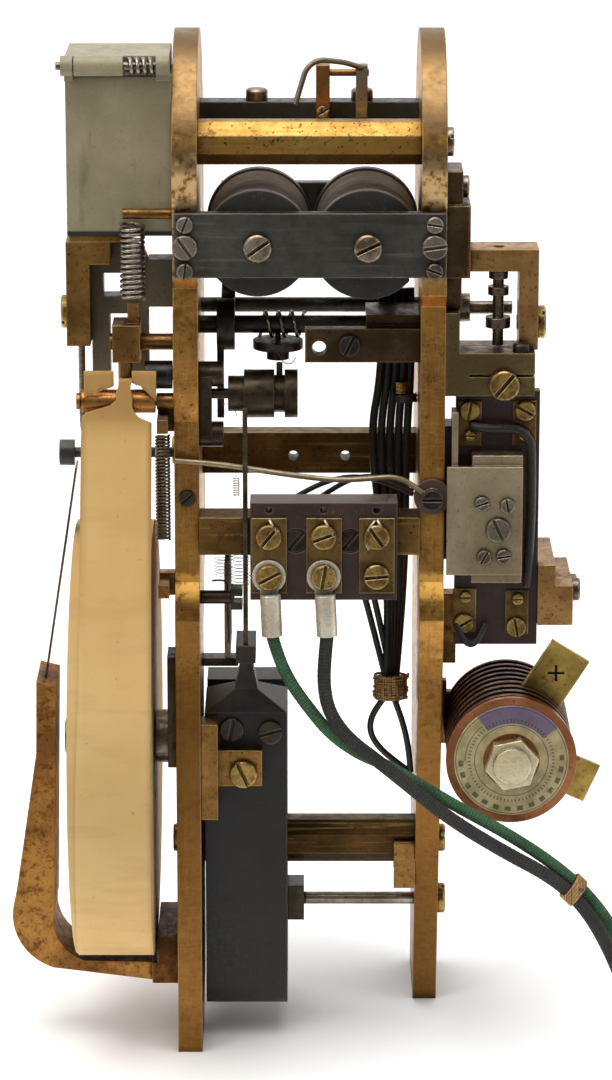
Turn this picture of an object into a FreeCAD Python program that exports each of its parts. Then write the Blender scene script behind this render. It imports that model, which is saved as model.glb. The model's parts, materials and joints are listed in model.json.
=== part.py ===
"""A paper-tape recording galvanometer movement, out of its case, in millimetres.

Two upright brass side plates carry everything. X runs to the right, Y to the back and Z up.
While it is modelled, Y = 0 is the front edge of the plates and Z = 0 is the bench; the whole
is moved at the end so that the frame's origin is under the middle of the instrument.
"""
import FreeCAD, Part
import math
import os

V = FreeCAD.Vector
X_AXIS = V(1, 0, 0)
Y_AXIS = V(0, 1, 0)
Z_AXIS = V(0, 0, 1)

# ---- driving dimensions -------------------------------------------------------------------
PLATE_T = 7.2                 # thickness of each side plate
PLATE_GAP = 64.0              # between the side plates' inner faces
PLATE_DEPTH = 80.0            # front to back, so the round head has half of it as radius
PLATE_H = 302.0               # bench to the top of the head
RECESS = 5.0                  # the upper front edge stands this far behind the lower leg
LEG_TOP_Z = 134.5
LEFT_FOOT_DEPTH = 24.0
RIGHT_FOOT_Y = 44.0
RIGHT_FOOT_DEPTH = 34.0

BRIDGE_T = 4.0                # bridge plate across the front of the head
BRIDGE_H = 18.6
BRIDGE_Z = 246.0
COIL_R = 15.4                 # cheeks of the two electromagnet coils
COIL_LENGTH = 40.0
COIL_SPACING = 31.4
WIRE_WRAP = 0.7               # winding lies this far inside the cheeks' rim

BOX_W = 30.2                  # ink box
BOX_D = 25.0
BOX_H = 45.8
BOX_WALL = 1.5
BOX_Z = 247.0
BOX_Y = 8.0

ROLL_R = 65.0                 # paper roll
ROLL_W = 23.0
ROLL_CORE_R = 12.7
ROLL_Y = 25.0
ROLL_Z = 91.5
TAPE_W = 21.6
TAPE_T = 0.4

MAGNET_W = 24.4               # horseshoe magnet, seen from its edge
MAGNET_D = 47.0
MAGNET_Z = 9.0
MAGNET_TOP = 103.4
MAGNET_LIMB = 13.0

BLOCK_W = 42.4                # terminal block
BLOCK_H = 28.9
BLOCK_T = 10.5
BLOCK_Z = 143.2

STACK_R = 19.2                # rectifier's discs
STACK_DEPTH = 45.0
STACK_X = 20.0                # from the right plate's outer face to the stack's axis
STACK_Z = 93.2
STACK_Y = -4.0

GREEN_R = 1.8                 # the two free leads
BLACK_R = 2.0

RUNNING = 0.05                # radial clearance of a shaft in its hole
CLOSE = 0.1                   # radial clearance of a screw in its hole
AIR = 0.3                     # least gap between pieces that move past each other

# ---- places that follow from them ---------------------------------------------------------
LEFT_IN = -31.0
LEFT_OUT = LEFT_IN - PLATE_T
RIGHT_IN = LEFT_IN + PLATE_GAP
RIGHT_OUT = RIGHT_IN + PLATE_T
MIDDLE = (LEFT_IN + RIGHT_IN) / 2
HEAD_R = PLATE_DEPTH / 2
HEAD_Z = PLATE_H - HEAD_R
NOTCH_Y = 2.0
FRAME_SHIFT = V(0, -ROLL_Y, 0)

TOP_PILLAR = (15.0, 273.1, 12.4)        # y, z, across flats
LOW_PILLAR = (37.0, 55.2, 13.5)
MID_BAR = (2.5, 13.5, 153.8, 165.0)     # y from, y to, z from, z to
CROSSBAR = (50.0, 58.0, 166.5, 178.9)
REAR_BAR = (41.0, 49.0, 269.0, 280.4)
ARMATURE_AXIS = (45.0, 219.3)           # y, z of the shafts and pivots that run along X
ROCKER_AXIS = (25.0, 217.6)
TENSION_AXIS = (12.0, 215.2)
FEED_AXIS = (5.0, 207.0)
GUIDE_AXIS = (4.0, 199.4)
DRUM_AXIS = (13.0, 199.6)
BRAKE_AXIS = (20.0, 180.3)
LID_AXIS = (5.0, 296.3)
COIL_PIVOT = (-23.3, 31.0)              # x, y of the moving coil's upright spindle
WIRE_PIVOT = (170.8, RIGHT_IN + PLATE_T / 2)   # z, x
ARMATURE_R = 2.2
ROCKER_R = 2.6
TENSION_R = 2.4
FEED_R = 4.1
GUIDE_R = 3.4
DRUM_R = 7.0
SPINDLE_R = 3.0
LID_PIN_R = 1.2
SPRING_X = LEFT_OUT - 11.4
SPRING_Y = 3.8


# ---- shapes -------------------------------------------------------------------------------
def box(x0, x1, y0, y1, z0, z1):
    return Part.makeBox(x1 - x0, y1 - y0, z1 - z0, V(x0, y0, z0))


def rod_x(x0, x1, y, z, r):
    return Part.makeCylinder(r, x1 - x0, V(x0, y, z), X_AXIS)


def rod_y(y0, y1, x, z, r):
    return Part.makeCylinder(r, y1 - y0, V(x, y0, z), Y_AXIS)


def rod_z(z0, z1, x, y, r):
    return Part.makeCylinder(r, z1 - z0, V(x, y, z0), Z_AXIS)


def group(shapes):
    return Part.makeCompound(shapes)


def join(shapes):
    whole = shapes[0].fuse(shapes[1:])
    return whole.removeSplitter()


def cut(shape, cutters):
    return shape.cut(cutters)


def outline(start, steps):
    """A closed wire of V points: a step is an end point, or (point on an arc, end point)."""
    edges = []
    here = start
    for step in steps + [start]:
        if isinstance(step, tuple):
            edges.append(Part.Arc(here, step[0], step[1]).toShape())
            here = step[1]
        else:
            if here.distanceToPoint(step) > 1e-6:
                edges.append(Part.makeLine(here, step))
            here = step
    return Part.Wire(edges)


def slab(wire, along):
    return Part.Face(wire).extrude(along)


def yz(x, y, z):
    return V(x, y, z)


def octagon_bar(y, z, flats, x0, x1):
    corner = flats / 2 / math.cos(math.pi / 8)
    points = []
    for i in range(8):
        turn = math.pi / 8 + i * math.pi / 4
        points.append(V(x0, y + corner * math.cos(turn), z + corner * math.sin(turn)))
    return slab(Part.makePolygon(points + [points[0]]), V(x1 - x0, 0, 0))


def turned(shape, seat, out, spin=0.0):
    """Puts a shape that was made about +Z at its seat, pointing out."""
    turn = FreeCAD.Rotation(Z_AXIS, out).multiply(FreeCAD.Rotation(Z_AXIS, spin))
    moved = shape.copy()
    moved.Placement = FreeCAD.Placement(seat, turn)
    return moved


def screw(seat, out, head_r, head_h, spin=0.0, shank=3.0, domed=False):
    """A slotted screw whose head sits on its seat; the shank is 0.45 of the head's radius."""
    head = Part.makeCylinder(head_r, head_h)
    rim = 0.45 * head_h if domed else 0.18 * head_h
    head = head.makeChamfer(rim, [head.Edges[0]])
    slot_w = 0.26 * head_r
    slot = box(-head_r, head_r, -slot_w / 2, slot_w / 2, 0.5 * head_h, head_h + 1)
    body = head.cut(slot).fuse(Part.makeCylinder(shank_r(head_r), shank, V(0, 0, -shank)))
    return turned(body, seat, out, spin)


def shank_r(head_r):
    return 0.45 * head_r


def screw_hole(seat, out, head_r, depth=3.0):
    hole = Part.makeCylinder(shank_r(head_r) + CLOSE, depth + 0.3 + 0.1, V(0, 0, -depth - 0.3))
    return turned(hole, seat, out)


def fixings(places):
    """Screws and their holes from (x, y, z, out, head radius, head height, spin, shank)."""
    screws = []
    holes = []
    for x, y, z, out, head_r, head_h, spin, shank in places:
        screws.append(screw(V(x, y, z), out, head_r, head_h, spin, shank))
        holes.append(screw_hole(V(x, y, z), out, head_r, shank))
    return screws, holes


def helix(seat, out, radius, wire_r, pitch, turns):
    path = Part.makeHelix(pitch, pitch * turns, radius)
    ring = Part.Wire([Part.makeCircle(wire_r, V(radius, 0, 0), Y_AXIS)])
    return turned(Part.Wire(path).makePipeShell([ring], True, True), seat, out)


def bent(points, radius, name=None):
    """A tube along straight runs joined by tangent arcs as large as the runs allow."""
    points = [V(*point) for point in points]
    edges = []
    radii = []
    here = points[0]
    for before, corner, after in zip(points, points[1:], points[2:]):
        back = (before - corner).normalize()
        on = (after - corner).normalize()
        half = (math.pi - back.getAngle(on)) / 2
        reach = 0.45 * min(before.distanceToPoint(corner), after.distanceToPoint(corner))
        arc_r = reach / math.tan(half)
        start = corner + back * reach
        end = corner + on * reach
        inward = (back + on).normalize()
        middle = corner + inward * (arc_r / math.cos(half) - arc_r)
        edges.append(Part.makeLine(here, start))
        edges.append(Part.Arc(start, middle, end).toShape())
        radii.append(arc_r)
        here = end
    edges.append(Part.makeLine(here, points[-1]))
    path = Part.Wire(edges)
    across = (points[1] - points[0]).normalize()
    ring = Part.Wire([Part.makeCircle(radius, points[0], across)])
    tube = path.makePipeShell([ring], True, True)
    if name:
        expected = math.pi * radius ** 2 * path.Length
        print(f"{name}: length {path.Length:.1f} mm, volume / (section x length)"
              f" {tube.Volume / expected:.4f}, radii", [round(r, 1) for r in radii])
    return tube


# ---- side plates --------------------------------------------------------------------------
def head_edge(x):
    """The shared upper outline, from the bridge plate's notch over the round head."""
    low = BRIDGE_Z - BRIDGE_H / 2 - CLOSE
    high = BRIDGE_Z + BRIDGE_H / 2
    top = HEAD_R * math.sqrt(0.5)
    return [
        yz(x, NOTCH_Y, low), yz(x, NOTCH_Y, high), yz(x, 0, high + 4.0), yz(x, 0, HEAD_Z),
        (yz(x, HEAD_R - top, HEAD_Z + top), yz(x, HEAD_R, PLATE_H)),
        (yz(x, HEAD_R + top, HEAD_Z + top), yz(x, PLATE_DEPTH, HEAD_Z)),
    ]


def fillet_edge(x):
    """The bright hollow where the recessed upper edge runs out to the lower leg."""
    return [(yz(x, 1.4, LEG_TOP_Z + 4.6), yz(x, RECESS, LEG_TOP_Z + 10.5))]


def left_plate_blank():
    x = LEFT_OUT
    low = BRIDGE_Z - BRIDGE_H / 2 - CLOSE
    steps = [yz(x, 0, LEG_TOP_Z)] + fillet_edge(x)
    steps += [yz(x, RECESS, 193.0), (yz(x, 0, 213.0), yz(x, RECESS - 1, 232.5)), yz(x, 0, low)]
    steps += head_edge(x)
    steps += [yz(x, PLATE_DEPTH, 168.0), (yz(x, 68.0, 139.0), yz(x, 46.0, 120.0))]
    steps += [yz(x, 46.0, 24.0), (yz(x, 40.0, 11.0), yz(x, LEFT_FOOT_DEPTH, 4.0))]
    steps += [yz(x, LEFT_FOOT_DEPTH, 0)]
    return slab(outline(yz(x, 0, 0), steps), V(PLATE_T, 0, 0))


def right_plate_blank():
    x = RIGHT_IN
    low = BRIDGE_Z - BRIDGE_H / 2 - CLOSE
    steps = [yz(x, 0, LEG_TOP_Z)] + fillet_edge(x)
    steps += [yz(x, RECESS, 227.0), yz(x, 0, 231.0), yz(x, 0, low)]
    steps += head_edge(x)
    steps += [yz(x, PLATE_DEPTH, 150.0), yz(x, RIGHT_FOOT_Y + RIGHT_FOOT_DEPTH, 0)]
    return slab(outline(yz(x, RIGHT_FOOT_Y, 0), steps), V(PLATE_T, 0, 0))


def left_side_plate():
    holes = [
        rod_x(LEFT_OUT - 1, LEFT_IN + 1, *ARMATURE_AXIS, ARMATURE_R + RUNNING),
        rod_x(LEFT_OUT - 1, LEFT_IN + 1, *ROCKER_AXIS, ROCKER_R + RUNNING),
    ]
    return cut(left_plate_blank(), holes + BRIDGE_HOLES + EDGE_HOLES + LEFT_SIDE_HOLES)


def right_side_plate():
    holes = [
        rod_x(RIGHT_IN - 1, RIGHT_OUT + 1, *ARMATURE_AXIS, ARMATURE_R + RUNNING),
        rod_y(-1, RECESS + 8, WIRE_PIVOT[1], WIRE_PIVOT[0], 1.5 + CLOSE),
    ]
    return cut(right_plate_blank(), holes + BRIDGE_HOLES + PILLAR_HOLES)


# ---- bars between the plates --------------------------------------------------------------
def top_pillar():
    return cut(octagon_bar(*TOP_PILLAR, LEFT_IN, RIGHT_IN), PILLAR_HOLES)


def lower_pillar():
    return cut(octagon_bar(*LOW_PILLAR, LEFT_IN, RIGHT_IN), PILLAR_HOLES)


def mid_pillar():
    bar = box(LEFT_IN, RIGHT_IN, *MID_BAR)
    return cut(bar, BLOCK_HOLES)


HOLE_SPACING = 15.6
HOLE_R = 1.5
HOLES_X = MIDDLE + 3.0
HOLES_Z = 171.9


def drilled_crossbar():
    bar = box(LEFT_IN, RIGHT_IN, *CROSSBAR)
    sides = [-HOLE_SPACING / 2, HOLE_SPACING / 2]
    holes = [rod_y(CROSSBAR[0] - 1, CROSSBAR[1] + 1, HOLES_X + s, HOLES_Z, HOLE_R)
             for s in sides]
    return cut(bar, holes + PILLAR_HOLES)


def rear_bar():
    return cut(box(LEFT_IN, RIGHT_IN, *REAR_BAR), REAR_HOLES + POST_HOLES)


def tie_rod():
    """A steel rod from a dark block on the magnet to the screw in the right plate."""
    y = 40.0
    z = 34.6
    block_x = MAGNET_X1
    stay = rod_x(block_x + 5, RIGHT_IN, y, z, 1.9)
    nut = box(block_x, block_x + 5, y - 6, y + 4, z - 5, z + 6)
    return join([stay, nut])


# ---- electromagnets -----------------------------------------------------------------------
COILS_X = [MIDDLE + 0.9 - COIL_SPACING / 2, MIDDLE + 0.9 + COIL_SPACING / 2]
COIL_Z = BRIDGE_Z - 0.5
COIL_Y0 = NOTCH_Y + 2.0
CHEEK_T = 3.0
CORE_R = 5.0
COIL_Y1 = COIL_Y0 + COIL_LENGTH


def bridge_plate():
    plate = box(LEFT_OUT + 0.7, RIGHT_OUT - 0.3, NOTCH_Y - BRIDGE_T, NOTCH_Y,
                BRIDGE_Z - BRIDGE_H / 2, BRIDGE_Z + BRIDGE_H / 2)
    return cut(plate, BRIDGE_HOLES + CORE_HOLES)


def magnet_cores():
    cores = [rod_y(NOTCH_Y, COIL_Y1 + 1.0, x, COIL_Z, CORE_R) for x in COILS_X]
    return cut(group(cores), CORE_HOLES)


def coil_cheeks():
    """Front and back cheeks of both coils, four separate discs."""
    discs = []
    for x in COILS_X:
        for y in (COIL_Y0, COIL_Y1 - CHEEK_T):
            disc = rod_y(y, y + CHEEK_T, x, COIL_Z, COIL_R)
            discs.append(disc.cut(rod_y(y - 1, y + CHEEK_T + 1, x, COIL_Z, CORE_R)))
    return group(discs)


def coil_windings():
    turns = []
    for x in COILS_X:
        outer = rod_y(COIL_Y0 + CHEEK_T, COIL_Y1 - CHEEK_T, x, COIL_Z, COIL_R - WIRE_WRAP)
        turns.append(outer.cut(rod_y(COIL_Y0, COIL_Y1, x, COIL_Z, CORE_R)))
    return group(turns)


def coil_shield():
    """A thin sheet wrapped under the right coil."""
    x = COILS_X[1]
    z = COIL_Z
    outer = COIL_R + 0.8
    ends = [math.radians(218), math.radians(318)]
    middle = (ends[0] + ends[1]) / 2

    def at(radius, turn):
        return V(x + radius * math.cos(turn), COIL_Y0, z + radius * math.sin(turn))

    steps = [(at(COIL_R, middle), at(COIL_R, ends[1])), at(outer, ends[1]),
             (at(outer, middle), at(outer, ends[0]))]
    return slab(outline(at(COIL_R, ends[0]), steps), V(0, COIL_LENGTH, 0))


def armature():
    """The soft-iron plate behind the poles, on two arms that swing about its shaft."""
    y, z = ARMATURE_AXIS
    x0 = LEFT_IN + 6
    x1 = RIGHT_IN - 6
    back = COIL_Y1 + 3.2
    plate = box(x0, x1, back, back + 4, COIL_Z - 12, COIL_Z + 10)
    pieces = [plate]
    for x in (x0, x1 - 4):
        pieces.append(box(x, x + 4, back, back + 4, z, COIL_Z))
        pieces.append(rod_x(x, x + 4, y, z, 5.0))
        pieces.append(box(x, x + 4, y, back + 4, z - 2.5, z + 2.5))
    bore = rod_x(x0 - 1, x1 + 1, y, z, ARMATURE_R)
    return join([join(pieces).cut(bore), rod_x(LEFT_OUT + 1, RIGHT_OUT - 1, y, z, ARMATURE_R)])


# ---- top contact --------------------------------------------------------------------------
POST_X = MIDDLE + 3.9
CONTACT_AXIS = (37.2, 289.6)


def contact_post():
    """The brass upright on the rear bar and the pin that its arm swings on."""
    y, z = CONTACT_AXIS
    post = box(POST_X - 2, POST_X + 2, y - 1.8, REAR_BAR[0], 272.0, 292.0)
    pin = rod_x(POST_X + 2, POST_X + 13.4, y, z, 1.0)
    return cut(join([post, pin]), POST_HOLES)


def contact_arm():
    """A dark link hanging on the pin, with a bent wire soldered to its top."""
    y, z = CONTACT_AXIS
    x0 = POST_X + 9.6
    link = box(x0, x0 + 3.4, y - 2.0, y + 2.0, z - 13.0, z + 2.4)
    link = link.cut(rod_x(x0 - 1, x0 + 5, y, z, 1.0 + RUNNING))
    front = y - 2.0
    wire = bent([(x0 + 1.7, front + 0.2, z + 1.6), (x0 - 3.0, front - 2.2, z + 3.6),
                 (POST_X - 4.0, front - 4.2, z + 5.0), (POST_X - 8.0, front - 6.0, z - 8.0)], 0.8)
    return join([link, wire])


# ---- ink box ------------------------------------------------------------------------------
BOX_X0 = LEFT_OUT - BOX_W
BOX_TOP = BOX_Z + BOX_H
KNUCKLE_R = 2.9
LID_KNUCKLE = (BOX_X0 + 2.8, BOX_X0 + 16.7)
PIN_END = BOX_X0 - 2.4


def ink_box():
    outer = box(BOX_X0, LEFT_OUT, BOX_Y, BOX_Y + BOX_D, BOX_Z, BOX_TOP)
    inner = box(BOX_X0 + BOX_WALL, LEFT_OUT - BOX_WALL, BOX_Y + BOX_WALL,
                BOX_Y + BOX_D - BOX_WALL, BOX_Z + BOX_WALL, BOX_TOP + 1)
    y, z = LID_AXIS
    pieces = [outer.cut(inner)]
    for x0, x1 in ((BOX_X0 - 1.0, LID_KNUCKLE[0] - AIR), (LEFT_OUT - 4.2, LEFT_OUT - 0.4)):
        pieces.append(rod_x(x0, x1, y, z, KNUCKLE_R))
        pieces.append(box(max(x0, BOX_X0), x1, y - 0.6, BOX_Y, BOX_TOP - 0.8, z - 1))
    return join(pieces).cut(rod_x(PIN_END, LEFT_OUT, y, z, LID_PIN_R))


def lid_hinge_pin():
    return rod_x(PIN_END, LEFT_OUT - 0.4, *LID_AXIS, LID_PIN_R)


def ink_box_lid():
    """A shallow cap with a knuckle on the pin, its skirts just clear of the box's rim."""
    y, z = LID_AXIS
    top = z + 2.4
    x1 = LEFT_OUT - 0.6
    front = y + KNUCKLE_R + 0.4
    back = BOX_Y + BOX_D + 0.6
    cap = box(BOX_X0, x1, front, back, BOX_TOP + AIR, top)
    hollow = box(BOX_X0 + 1.2, x1 - 1.2, front + 1.2, back - 1.2, BOX_TOP, top - 1.6)
    knuckle = rod_x(*LID_KNUCKLE, y, z, KNUCKLE_R)
    leaf = box(*LID_KNUCKLE, y, front + 0.5, z + 0.6, top)
    lid = join([cap.cut(hollow), knuckle, leaf])
    return lid.cut(rod_x(BOX_X0, x1, y, z, LID_PIN_R + RUNNING))


def lid_spring():
    x = LID_KNUCKLE[1] + 0.9
    return helix(V(x, *LID_AXIS), X_AXIS, 2.05, 0.55, 1.9, 4)


def box_arm():
    """The brass bracket under the ink box, bored for the copper screw."""
    x0 = BOX_X0 - 0.6
    x1 = x0 + 6.8
    y0 = BOX_Y + 1
    arm = box(x0, x1, y0, y0 + 11, 214.5, BOX_Z - 2.0)
    plate = box(BOX_X0 + 0.5, LEFT_OUT - 12, BOX_Y + 0.5, BOX_Y + 20, BOX_Z - 2.0, BOX_Z)
    shelf = box(x0, x1 + 6.0, y0, y0 + 9.5, BOX_Z - 8.6, BOX_Z - 2.0)
    return cut(join([arm, shelf, plate]), ARM_HOLES)


def arch_bracket():
    """The painted arch between the brass arm and the left plate."""
    x0 = BOX_X0 + 6.2
    x1 = LEFT_OUT - 7.6
    y0 = 19.0
    top = 243.0
    low = 203.5
    mid = (x0 + x1) / 2
    steps = [V(x0, y0, top - 7), (V(x0 + 2.2, y0, top - 2.0), V(x0 + 8, y0, top)),
             V(x1 - 8, y0, top), (V(x1 - 2.2, y0, top - 2.0), V(x1, y0, top - 7)),
             V(x1, y0, low), V(mid + 3, y0, low), V(mid + 3, y0, 222.0),
             V(mid - 3, y0, 222.0), V(mid - 3, y0, low)]
    arch = slab(outline(V(x0, y0, low), steps), V(0, 8, 0))
    window = box(x0 + 3.4, x0 + 9.0, y0 - 1, y0 + 9, 227.0, 234.0)
    foot = box(x1, LEFT_OUT, y0, y0 + 8, 224.0, 238.0)
    return cut(join([arch.cut(window), foot]), ARM_HOLES)


def spring_stud():
    return rod_x(SPRING_X - 2.8, LEFT_OUT, SPRING_Y, 254.2, 1.5)


# ---- paper feed ---------------------------------------------------------------------------
def tension_shaft():
    return rod_x(LEFT_OUT - 18.6, LEFT_OUT, *TENSION_AXIS, TENSION_R)


def tension_lever():
    """The brass block that swings on the shaft, with its spring link and knurled bolt."""
    y, z = TENSION_AXIS
    x0 = LEFT_OUT - 17.3
    x1 = LEFT_OUT - 9.4
    block = box(x0, x1, 0, y, 211.6, 222.4)
    hub = rod_x(x0, x1, y, z, 5.2)
    link = box(SPRING_X - 1.6, SPRING_X + 1.6, SPRING_Y - 0.8, SPRING_Y + 0.8, 222.4, 228.6)
    bolt = rod_z(206.2, 211.6, x0 + 3.6, 3.0, 2.1)
    lever = join([block, hub, link, bolt])
    return lever.cut(rod_x(x0 - 1, x1 + 1, y, z, TENSION_R + RUNNING))


def tension_spring():
    return helix(V(SPRING_X, SPRING_Y, 229.4), Z_AXIS, 3.2, 0.5, 1.5, 14.5)


def feed_roller():
    return join([rod_x(LEFT_OUT - 8.2, LEFT_OUT - AIR, *FEED_AXIS, FEED_R),
                 rod_x(LEFT_OUT - AIR, LEFT_OUT + 4.0, *FEED_AXIS, 1.6)])


def guide_roller():
    """The brass roller that the tape runs over, turning on a pin in the plate."""
    roller = rod_x(LEFT_OUT - 26.4, LEFT_OUT - 5.2, *GUIDE_AXIS, GUIDE_R)
    bore = rod_x(LEFT_OUT - 28, LEFT_OUT, *GUIDE_AXIS, 1.4 + RUNNING)
    return roller.cut(bore)


def guide_pin():
    return join([rod_x(LEFT_OUT - 27.0, LEFT_OUT, *GUIDE_AXIS, 1.4),
                 rod_x(LEFT_OUT - 28.0, LEFT_OUT - 26.8, *GUIDE_AXIS, 2.4),
                 rod_x(LEFT_OUT - 4.8, LEFT_OUT, *GUIDE_AXIS, 2.4)])


def wire_guide():
    """A stiff nickel wire hanging from the brass arm, bent under the tape's edge."""
    x = BOX_X0 + 3.4
    return bent([(x, 14.0, 214.5), (x, 14.0, 198.0), (x + 0.2, 13.0, 187.0),
                 (x + 7.5, 12.0, 182.5)], 1.0)


# ---- paper --------------------------------------------------------------------------------
ROLL_X1 = LEFT_OUT - 7.0
ROLL_X0 = ROLL_X1 - ROLL_W
SPINDLE_END = ROLL_X0 - 3.9


def paper_roll():
    disc = rod_x(ROLL_X0, ROLL_X1, ROLL_Y, ROLL_Z, ROLL_R)
    return disc.cut(rod_x(ROLL_X0 - 1, ROLL_X1 + 1, ROLL_Y, ROLL_Z, ROLL_CORE_R + RUNNING))


def roll_core():
    core = rod_x(ROLL_X0, ROLL_X1, ROLL_Y, ROLL_Z, ROLL_CORE_R)
    return core.cut(rod_x(ROLL_X0 - 1, ROLL_X1 + 1, ROLL_Y, ROLL_Z, SPINDLE_R + RUNNING))


def roll_spindle():
    """The steel spindle in the left plate, its spacing collar and end button."""
    return join([rod_x(SPINDLE_END, LEFT_OUT, ROLL_Y, ROLL_Z, SPINDLE_R),
                 rod_x(SPINDLE_END, ROLL_X0 - AIR, ROLL_Y, ROLL_Z, 5.0),
                 rod_x(ROLL_X1 + AIR, LEFT_OUT, ROLL_Y, ROLL_Z, 8.0)])


def paper_tape():
    """The free tape, from the front of the roll up over the guide roller to a torn end."""
    reach_y = GUIDE_AXIS[0] - GUIDE_R - AIR - ROLL_Y
    reach_z = GUIDE_AXIS[1] - ROLL_Z
    gap_r = ROLL_R + AIR
    lean = math.atan2(reach_z, reach_y) + math.acos(gap_r / math.hypot(reach_y, reach_z))
    x = (ROLL_X0 + ROLL_X1) / 2 + 1.6 - TAPE_W / 2
    foot = V(x, ROLL_Y + gap_r * math.cos(lean), ROLL_Z + gap_r * math.sin(lean))
    top = V(x, ROLL_Y + reach_y, ROLL_Z + reach_z)
    run = (top - foot).normalize()
    out = V(0, -run.z, run.y) * TAPE_T
    end = V(x, top.y, top.z + 3.4)
    out_end = V(0, -TAPE_T, 0)
    wire = outline(foot, [top, end, end + out_end, top + out_end, foot + out])
    band = slab(wire, V(TAPE_W, 0, 0))
    neck = box(x + 8.4, x + 15.0, end.y - TAPE_T, end.y, end.z, end.z + 3.6)
    return join([band, neck])


def j_bracket():
    """The cast arm that passes under the roll and stands up beside it."""
    y0 = 12.0
    end = LEFT_OUT - 8.0
    low = 18.6
    steps = [V(end, y0, low + 5.6), V(-66.5, y0, low + 6.0), (V(-73.6, y0, 30.0), V(-75.4, y0, 40.5)),
             V(-74.0, y0, 111.0), V(-79.8, y0, 112.4), V(-80.2, y0, 90.0), V(-87.0, y0, 45.0),
             (V(-86.6, y0, 32.0), V(-76.0, y0, 22.4))]
    return slab(outline(V(end, y0, low), steps), V(0, 22, 0))


def base_block():
    """The foot block that ties the arm to the left plate; it steps down under the roll."""
    low = box(LEFT_OUT - 8.0, LEFT_OUT, 10.0, 40.0, 18.2, 24.6)
    high = box(LEFT_OUT - 6.4, LEFT_OUT, 10.0, 40.0, 24.6, 33.2)
    return join([low, high])


def leaf_spring():
    """The thin spring strip from the arm's top up to the brake knob's rod."""
    y0 = 18.0
    wire = outline(V(-77.6, y0, 112.0), [V(-77.0, y0, 112.0), V(-67.1, y0, 176.0),
                                         V(-67.7, y0, 176.2)])
    return slab(wire, V(0, 9, 0))


def brake_knob():
    """The black knob on its rod through the left plate."""
    y, z = BRAKE_AXIS
    knob = rod_x(LEFT_OUT - 34.0, LEFT_OUT - 29.6, y, z, 3.8)
    return join([knob, rod_x(LEFT_OUT - 29.6, LEFT_OUT + 4.0, y, z, 1.5)])


def thin_spring():
    return helix(V(LEFT_OUT - 3.1, -1.6, 159.6), Z_AXIS, 1.9, 0.35, 1.0, 31)


def spring_posts():
    """Two brass posts on the outer face that the thin spring hooks on."""
    x = LEFT_OUT - 3.1
    pieces = []
    for z in (144.0, 193.2):
        pieces.append(box(x - 1.6, LEFT_OUT, 6.5, 10.5, z - 3.4, z + 3.4))
        pieces.append(box(x - 1.6, x + 1.6, -2.4, 6.5, z - 2.0, z + 2.0))
    return group([join(pieces[0:2]), join(pieces[2:4])])


def side_pads():
    x0 = LEFT_OUT - 2.6
    return box(x0, LEFT_OUT, 5.0, 16.0, 88.0, 122.0)


# ---- centre works -------------------------------------------------------------------------
def rocker():
    """The dark rocking shaft with its collar, hanging lever and adjusting nut."""
    y, z = ROCKER_AXIS
    shaft = rod_x(LEFT_OUT + 1, FINGER_X + 5, y, z, ROCKER_R)
    collar = rod_x(LEFT_IN + 5.0, LEFT_IN + 10.2, y, z, 7.5)
    lever = box(LEFT_IN + 5.0, LEFT_IN + 7.0, y - 2, y + 2, 190.0, z)
    nut_x = MIDDLE - 9.2
    stud = rod_z(208.4, z, nut_x, y, 0.8)
    disc = rod_z(210.6, 213.0, nut_x, y, 7.3)
    knob = rod_z(207.4, 210.6, nut_x, y, 3.3)
    return join([shaft, collar, lever, stud, disc, knob])


def rocker_spring():
    y, z = ROCKER_AXIS
    return helix(V(MIDDLE - 14.6, y, z), X_AXIS, 3.6, 0.5, 3.8, 3.5)


FINGER_X = MIDDLE + 16.4


def finger_bracket():
    """The brass block on the right plate and the drilled finger screwed to its front."""
    y, z = ROCKER_AXIS
    block = box(FINGER_X, RIGHT_IN, 12.0, 30.0, 209.6, 223.0)
    finger = box(MIDDLE - 1.3, RIGHT_IN, 8.0, 12.0, 209.9, 219.8)
    body = join([block, finger])
    hole = rod_y(7.0, 13.0, MIDDLE + 2.8, 214.2, 2.0)
    return cut(body, [hole, rod_x(FINGER_X - 1, FINGER_X + 5.5, y, z, ROCKER_R + RUNNING)]
               + FINGER_HOLES)


def drum_bracket():
    """The frame on the left plate that bears the drum, with a round boss at each end."""
    y, z = DRUM_AXIS
    plate = box(LEFT_IN, LEFT_IN + 3.6, 9.0, 17.0, 187.5, 205.4)
    bosses = [rod_x(LEFT_IN, LEFT_IN + 7.0, 13.0, zb, 3.7) for zb in (205.4, 187.5)]
    return join([plate] + bosses).cut(rod_x(LEFT_IN, LEFT_IN + 5, y, z, 1.5 + RUNNING))


def drum():
    """The stepped drum with its radial pin."""
    y, z = DRUM_AXIS
    x0 = LEFT_IN + 8.4
    steps = [(0.0, 4.6, 5.2), (4.6, 13.4, DRUM_R), (13.4, 16.4, 5.4), (16.4, 20.2, DRUM_R)]
    pieces = [rod_x(LEFT_IN + 0.6, x0, y, z, 1.5)]
    for a, b, r in steps:
        pieces.append(rod_x(x0 + a, x0 + b, y, z, r))
    pieces.append(rod_z(z, z + 9.2, x0 + 14.9, y, 0.9))
    return join(pieces)


def fork_stud():
    """A stud on the left plate with a forked end."""
    y = 10.0
    z = 139.0
    stem = rod_x(LEFT_IN, LEFT_IN + 9.0, y, z, 2.0)
    fork = box(LEFT_IN + 9.0, LEFT_IN + 12.4, y - 2.6, y + 2.6, z - 3.2, z + 3.2)
    slot = box(LEFT_IN + 10.0, LEFT_IN + 13.0, y - 3, y + 3, z - 0.9, z + 0.9)
    return join([stem, fork]).cut(slot)


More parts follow.
